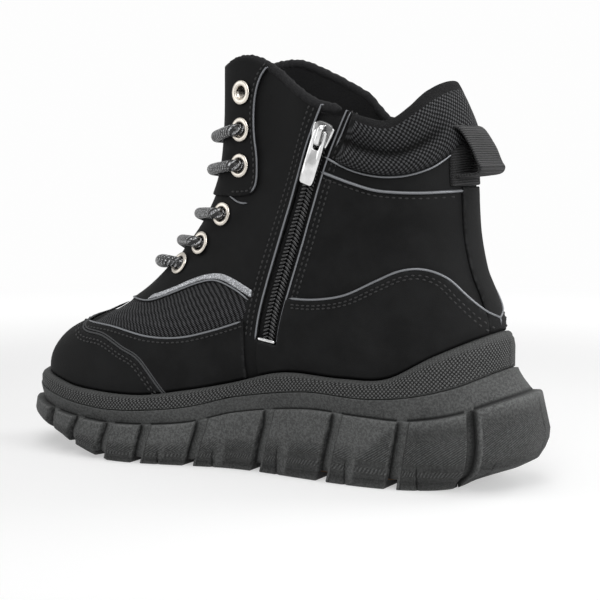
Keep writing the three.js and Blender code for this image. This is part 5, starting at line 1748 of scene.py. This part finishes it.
class BOOT_OT_zip(BootStep, bpy.types.Operator):
    """Zip: tape, two rows of slanted teeth, end bar, slider with its bridge, and the tab"""
    bl_idname = "boot.zip"
    bl_label = "Zip"

    def make(self, context):
        def strip(p):
            return within(band(ZIP, TAPE_WIDTH))(p)
        points, faces, uv, _ = sheet((0.2, 0.6), (0.2, 0.985), (90, 150), [strip], -WALL - GAP,
                                     -WALL - GAP - TAPE, 0.2)
        piece("zip_band", points, faces, tape_cloth(), uv=uv, replaces=["zip_tape"])
        self.teeth()
        self.bar()
        spot, axes = zip_matrix()
        points, faces, kind = self.slider()
        steel = metal("zip_metal", tints().steel, 0.1)
        # Painted shade: the slider's shield takes a copy of the zip metal at three tenths of its brightness
        # and rougher; the bridge and flanges keep the bright one.
        shaded = metal("shaded_slider_metal", [0.3 * v for v in tints().steel], 0.22)
        piece("slider_body", spot + points @ axes, faces, [steel, shaded], kind=kind,
              replaces=["zip_slider"])
        points, faces = self.tab()
        hinge = np.array([HINGE_FROM_FRONT - SLIDER_LENGTH / 2, 0, SLIDER_PLATE + BRIDGE_ROOM / 2])
        piece("pull_plate", spot + (points + hinge) @ axes, faces, metal("zip_metal", tints().steel, 0.1),
              body="pull_tab", replaces=["zip_pull"])

    def teeth(self):
        """Each tooth is a long bead, leaning up from its own side towards the middle."""
        line = even(beside(ZIP, 0)[3:-2], mm(sizes().tooth_pitch))
        line = line[line[:, 1] < side_z(SLIDER_AT[1])]
        one = bead(6, 8, TOOTH_LONG, TOOTH_THICK)
        rows = []
        for side in (-1, 1):
            s, level = on_side(beside(line, side * TOOTH_ASIDE))
            path, n = shell(s, level, -TOOTH_SUNK), outward(s, level)
            run = unit(np.gradient(path, axis=0))
            n = flat_to(n, run)
            b = np.cross(n, run) * side
            long = unit(b * 0.86 - run * 0.5)
            rows.append(scattered(path, (long, n, np.cross(n, long)), *one))
        points, faces = joined(rows)
        piece("zip_teeth", points, faces, coil(), replaces=["zip_chain"])

    def bar(self):
        """Metal bar across the chain's foot."""
        share = np.linspace(-1, 1, 13)
        foot, run = ZIP[-2], unit(ZIP[-1] - ZIP[-6])
        line = foot + np.stack([run[1] * share, -run[0] * share], -1) * FOOT_BAR_REACH
        s, level = on_side(line)
        radius = FOOT_BAR_RADIUS * (1 - 0.25 * share ** 4)
        points, faces, _ = tube(shell(s, level, FOOT_BAR_OUT), outward(s, level), radius, 10, 0.8)
        piece("zip_foot_bar", points, faces, metal("zip_metal", tints().steel, 0.1))

    def slider(self):
        front, half = -SLIDER_LENGTH / 2, SLIDER_WIDTH / 2
        shield = spline([(front, 0), (front + 0.3, -half * 0.6), (front + 1.8, -half),
                         (front + 5, -half * 0.93), (-front - 1, -half * 0.68), (-front, -half * 0.4),
                         (-front, 0), (-front, half * 0.4),
                         (-front - 1, half * 0.68), (front + 5, half * 0.93), (front + 1.8, half),
                         (front + 0.3, half * 0.6), (front, 0)], 0.7)[:-1]
        high = SLIDER_PLATE + BRIDGE_ROOM
        arch = spline([(front + 1.0, 0.6), (front + 1.3, high * 0.6), (front + 2.6, high + 0.45),
                       (0, high + 0.62), (-front - 2.6, high + 0.45), (-front - 1.3, high * 0.6),
                       (-front - 1.0, 0.6)], 0.35)
        path = np.stack([arch[:, 0], 0 * arch[:, 0], arch[:, 1]], -1)
        side = np.tile([0.0, 1.0, 0.0], (len(path), 1))
        run = unit(np.gradient(path, axis=0))
        bridge = tube(path, np.cross(side, run), BRIDGE_WIDTH / 2, 16, BRIDGE_METAL / BRIDGE_WIDTH)
        flanges = []
        for sign in (-1, 1):
            edge = spline([(front + 1.6, sign * half * 0.98, 0.8), (0, sign * half * 0.9, 1.2),
                           (-front - 1.2, sign * half * 0.66, 1.0)], 0.4)
            flanges.append(tube(edge, np.tile([0.0, 0.0, 1.0], (len(edge), 1)), 0.75, 10)[:2])
        shield = lozenge(shield, 0, SLIDER_PLATE, 0.35)
        points, faces = joined([shield, bridge[:2]] + flanges)
        kind = np.zeros(len(faces), int)
        kind[:len(shield[1])] = 1
        return points, faces, kind

    def tab(self):
        """Flat tab with a window near its head: a ring section carried between its two outlines."""
        half, top = PULL_WIDTH / 2, -PULL_PLATE / 2
        n = 64

        def rounded(x0, x1, w, r):
            a = np.linspace(0, 2 * np.pi, n, endpoint=False)
            cx, cy = (x0 + x1) / 2, 0
            hx, hy = (x1 - x0) / 2, w
            power = 2 / r
            return np.stack([cx + hx * np.sign(np.cos(a)) * np.abs(np.cos(a)) ** power,
                             cy + hy * np.sign(np.sin(a)) * np.abs(np.sin(a)) ** power], -1)
        outer = rounded(top, PULL_LENGTH, half, 7)
        slot = BRIDGE_WIDTH / 2 + GAP
        hole = rounded(PULL_PLATE / 2, SLIDER_LENGTH * 0.72, slot, 5)
        thick, bevel = PULL_PLATE / 2, 0.25

        def grown(ring, by):
            return ring + unit(ring - ring.mean(0)) * by
        layers = [(hole, -thick + bevel), (grown(hole, bevel), -thick), (grown(outer, -bevel), -thick),
                  (outer, -thick + bevel), (outer, thick - bevel), (grown(outer, -bevel), thick),
                  (grown(hole, bevel), thick), (hole, thick - bevel)]
        points = np.concatenate([np.column_stack([r, np.full(n, z)]) for r, z in layers])
        faces = halves(grid_faces(len(layers) + 1, n, True)) % len(points)
        return points, faces


class BOOT_OT_eyelets(BootStep, bpy.types.Operator):
    """Twelve pressed eyelets: a barrel through the wall under a rolled flange"""
    bl_idname = "boot.eyelets"
    bl_label = "Eyelets"

    def make(self, context):
        parts = []
        turn = np.linspace(0, 2 * np.pi, 36, endpoint=False)
        bore, flange = EYELET_BORE / 2, EYELET_FLANGE / 2
        for _, s, level, base in PLACES:
            roll = np.linspace(0, np.pi, 9)
            mid, wide = (bore + flange) / 2, (flange - bore) / 2
            r = np.concatenate([[bore, bore], mid - wide * np.cos(roll), [flange - 0.3, bore + EYELET_METAL]])
            h = np.concatenate([[-WALL - GAP, base - 0.2], base + EYELET_RIM * np.sin(roll) ** 0.8,
                                [base - 0.05, base - 0.1]])
            r = np.append(r, bore + EYELET_METAL)
            h = np.append(h, -WALL - GAP)
            centre, n = face(s, level), outward(s, level)
            b = unit(np.cross(n, [0, 0, 1.0]))
            c = np.cross(n, b)
            ring = np.cos(turn)[:, None] * b + np.sin(turn)[:, None] * c
            points = centre + h[:, None, None] * n + r[:, None, None] * ring[None]
            faces = halves(grid_faces(len(r) + 1, len(turn), True)) % (len(r) * len(turn))
            points = points.reshape(-1, 3)
            parts.append((points, faces if volume(points, faces) > 0 else faces[:, ::-1]))
        points, faces = joined(parts)
        piece("eyelet_rings", points, faces, metal("eyelet_metal", tints().eyelet, 0.2),
              replaces=[name for name, *_ in PLACES])


# Knots on a lace's straight run across the throat, as shares of it, and the share of a level that
# the lace drops by on its way to the throat's edge
STRAIGHT = [0.12, 0.3, 0.5, 0.7, 1.0]
LACE_DROP = 0.012
# The lowest lace: how far inward, how far down to the throat's foot, and how far over the flange
BAR = np.array([(0, 0, 1), (0.2, 0, 1.05), (0.45, 0.3, 1.05), (0.7, 0.8, 0.85), (1, 1, 0.8)])
BAR_FOOT = (-51.0, 39.5)


class BOOT_OT_laces(BootStep, bpy.types.Operator):
    """Round braided lace: four crossings and the bar at the throat's foot"""
    bl_idname = "boot.laces"
    bl_label = "Laces"

    def make(self, context):
        radius = mm(sizes().lace) / 2
        on_tongue = -WALL - TONGUE_GAP + 3 * GAP + radius
        medial, lateral = PLACES[:6], PLACES[6:]
        cord = braid("lace_braid", tints().lace, 0.9, 1.9, tints().fleck, 0.34, 0.0, 0.95)

        def on_flange(base):
            return base + EYELET_RIM + 2 * GAP + radius
        for row in range(1, 5):
            parts = [self.crossing(here, there, radius, over) for here, there, over in (
                (medial[row], lateral[row + 1], 1), (lateral[row], medial[row + 1], -1))]
            points, faces = joined([part[:2] for part in parts])
            uv = np.concatenate([part[2] for part in parts])
            piece(f"lace_pair_{row}", points, faces, cord, uv=uv, replaces=[f"lace_{row}"])
        self.bar(on_tongue, on_flange, cord, radius)

    def crossing(self, here, there, radius, over):
        """Cord from an eyelet: out of the bore, level over the facing, tightly round its edge and
        straight across to under the other facing, passing over or under its twin."""
        _, s0, l0, base = here
        _, s1, l1, _ = there
        share = np.linspace(0, 1, 500)
        s = mix(s0, s1, share)

        def throat(height, level):
            """Levels round the front at a height, distances there, and the throat's two edges."""
            level = level + 0 * share
            for _ in range(5):
                z, above = face(s, level)[..., 2], face(s, level + 0.01)[..., 2]
                level = np.clip(level + 0.01 * (height - z) / (above - z), 0.2, 0.99)
            line = face(s, level)
            far = run_length(line)
            open_part = np.flatnonzero(throat_field(line) < 0)
            return level, far, far[open_part[0]], far[open_part[-1]]
        levels, far, edge, _ = throat(face(s0, l0)[2], l0)
        lie = base + EYELET_RIM + radius + 0.1
        # Way over the facing and height over its face at each knot
        steps = np.array([(0, -WALL - 1.5), (0, base), (radius * 0.9, lie - 0.5),
                          (edge - 1.8, base + radius + 0.2), (edge - 0.2, base * 0.5 + 0.8),
                          (edge + 0.5, -1.8)])
        near = np.interp(steps[:, 0], far, share)
        low_levels, low_far, _, low_end = throat(face(s1, l1)[2], l1)
        end = np.interp(low_end + 1, low_far, share)
        level = np.append(np.interp(near, share, levels) - LACE_DROP * near / near[-1],
                          np.interp(end, share, low_levels))
        place = mix(s0, s1, np.append(near, end))
        knots = shell(place, level, np.append(steps[:, 1], -WALL - radius - 1))
        n = outward(place, level)
        run = np.array(STRAIGHT)[:, None]
        line = mix(knots[-2], knots[-1], run)
        line += over * radius * 0.9 * np.sin(np.pi * run) * mix(n[-2], n[-1], run)
        path = spline(np.concatenate([knots[:-1], line]), 0.6)
        return tube(path, carried(path, np.array([0, 0, 1.0])), radius, 16)

    def bar(self, on_tongue, on_flange, cord, radius):
        _, place, level, base = PLACES[5]
        _, foot = locate([BAR_FOOT])
        inward, down, over = BAR.T

        def side(sign):
            s = 1 + sign * (1 - place) * (1 - inward)
            return s, mix(level, foot[0], down), mix(on_tongue, on_flange(base), over)
        a, b = np.array(side(-1)), np.array(side(1))
        line = np.concatenate([a, b[:, ::-1][:, 1:]], 1)
        enter = np.array([[line[0, 0], line[0, 0]], [line[1, 0]] * 2, [-WALL - 1.5, base - 0.4]])
        leave = np.array([[line[0, -1]] * 2, [line[1, -1]] * 2, [base - 0.4, -WALL - 1.5]])
        line = np.concatenate([enter, line[:, 1:-1], leave], 1)
        path = spline(shell(*line), 0.6)
        at = np.linspace(place, 2 - place, len(path))
        points, faces, uv = tube(path, outward(at, level + 0 * at), radius, 16)
        piece("lace_bar", points, faces, cord, uv=uv, replaces=["lace_5"])


class BOOT_OT_trim(BootStep, bpy.types.Operator):
    """Silver piping along the panels and the zip, and the reflective strip on the windows"""
    bl_idname = "boot.trim"
    bl_label = "Piping and reflective strip"

    def make(self, context):
        r = mm(sizes().piping)
        parts = []
        slit = [(beside(ZIP, SLIT_WIDTH / 2), 0.45, 0.85), (beside(ZIP, -SLIT_WIDTH / 2), 0.45, 0.8)]
        for lateral in (False, True):
            lines = [(side_line(line), out, share) for line, out, share in PIPING]
            if not lateral:
                lines += slit
            parts += [surface_tube(line[::2], out, share * r, lateral) for line, out, share in lines]
        points, faces = joined(parts)
        piece("piping_cords", points, faces, silver_cord())
        toe = side_line(TOE_CAP_EDGE)[::2]
        seams = [surface_tube(beside(toe, -GAP - x), 1.35, size, lateral)
                 for lateral in (False, True) for x, size in ((0, r), (1.1, r * 0.8))]
        points, faces = joined(seams)
        dull = braid("dull_cord", [0.16 * v for v in tints().piping], 1.0, 1.1, tints().webbing, 0.6, 0.0)
        piece("toe_seam_cords", points, faces, dull)
        self.strip()

    def strip(self):
        area = within(np.concatenate([side_line(STRIP_HIGH), side_line(STRIP_LOW)[::-1]]))
        points, faces = joined([sheet(span, (0.15, 0.6), (180, 90), [area], 0.35, -RECESS, 0.3)[:2]
                                for span in ((0.44, 0.75), (1.25, 1.56))])
        piece("reflective_strips", points, faces, reflective())


class BOOT_OT_stitches(BootStep, bpy.types.Operator):
    """Rows of stitches beside the panels' edges and the zip"""
    bl_idname = "boot.stitches"
    bl_label = "Stitches"

    def make(self, context):
        step, pitch = mm(sizes().stitch), mm(sizes().stitch_pitch)
        parts = []
        for lateral in (False, True):
            rows = [(beside(side_line(line), aside), GAP + OVERLAY) for line, aside in STITCHES]
            rows.append((beside(side_line(TOP_EDGE), TOP_EDGE_STITCH), 0.0))
            if not lateral:
                rows += [(beside(ZIP, aside), 0.0) for aside in ZIP_STITCHES]
            parts += [stitch_row(line[2:-2], out, lateral, step, pitch) for line, out in rows]
        points, faces = joined(parts)
        piece("stitch_rows", points, faces, thread())


STEPS = (BOOT_OT_stage, BOOT_OT_upper, BOOT_OT_overlays, BOOT_OT_windows, BOOT_OT_collar, BOOT_OT_pull_loop,
         BOOT_OT_sole, BOOT_OT_zip, BOOT_OT_eyelets, BOOT_OT_laces, BOOT_OT_trim, BOOT_OT_stitches)


class BOOT_PT_panel(bpy.types.Panel):
    """Sizes, colours and steps of the boot"""
    bl_idname = "BOOT_PT_panel"
    bl_label = "Ankle boot"
    bl_space_type = "VIEW_3D"
    bl_region_type = "UI"
    bl_category = "Boot"

    def draw(self, context):
        for group in (context.scene.boot_sizes, context.scene.boot_colours):
            column = self.layout.column(align=True)
            for key in group.__annotations__:
                column.prop(group, key)
        for step in STEPS:
            self.layout.operator(step.bl_idname)


CLASSES = (BootSizes, BootColours) + STEPS + (BOOT_PT_panel,)


def register():
    for cls in CLASSES:
        bpy.utils.register_class(cls)
    bpy.types.Scene.boot_sizes = bpy.props.PointerProperty(type=BootSizes)
    bpy.types.Scene.boot_colours = bpy.props.PointerProperty(type=BootColours)


def unregister():
    del bpy.types.Scene.boot_colours
    del bpy.types.Scene.boot_sizes
    for cls in reversed(CLASSES):
        bpy.utils.unregister_class(cls)


def main():
    register()
    for step in STEPS:
        group, name = step.bl_idname.split(".")
        getattr(getattr(bpy.ops, group), name)()


if __name__ == "__main__":
    main()
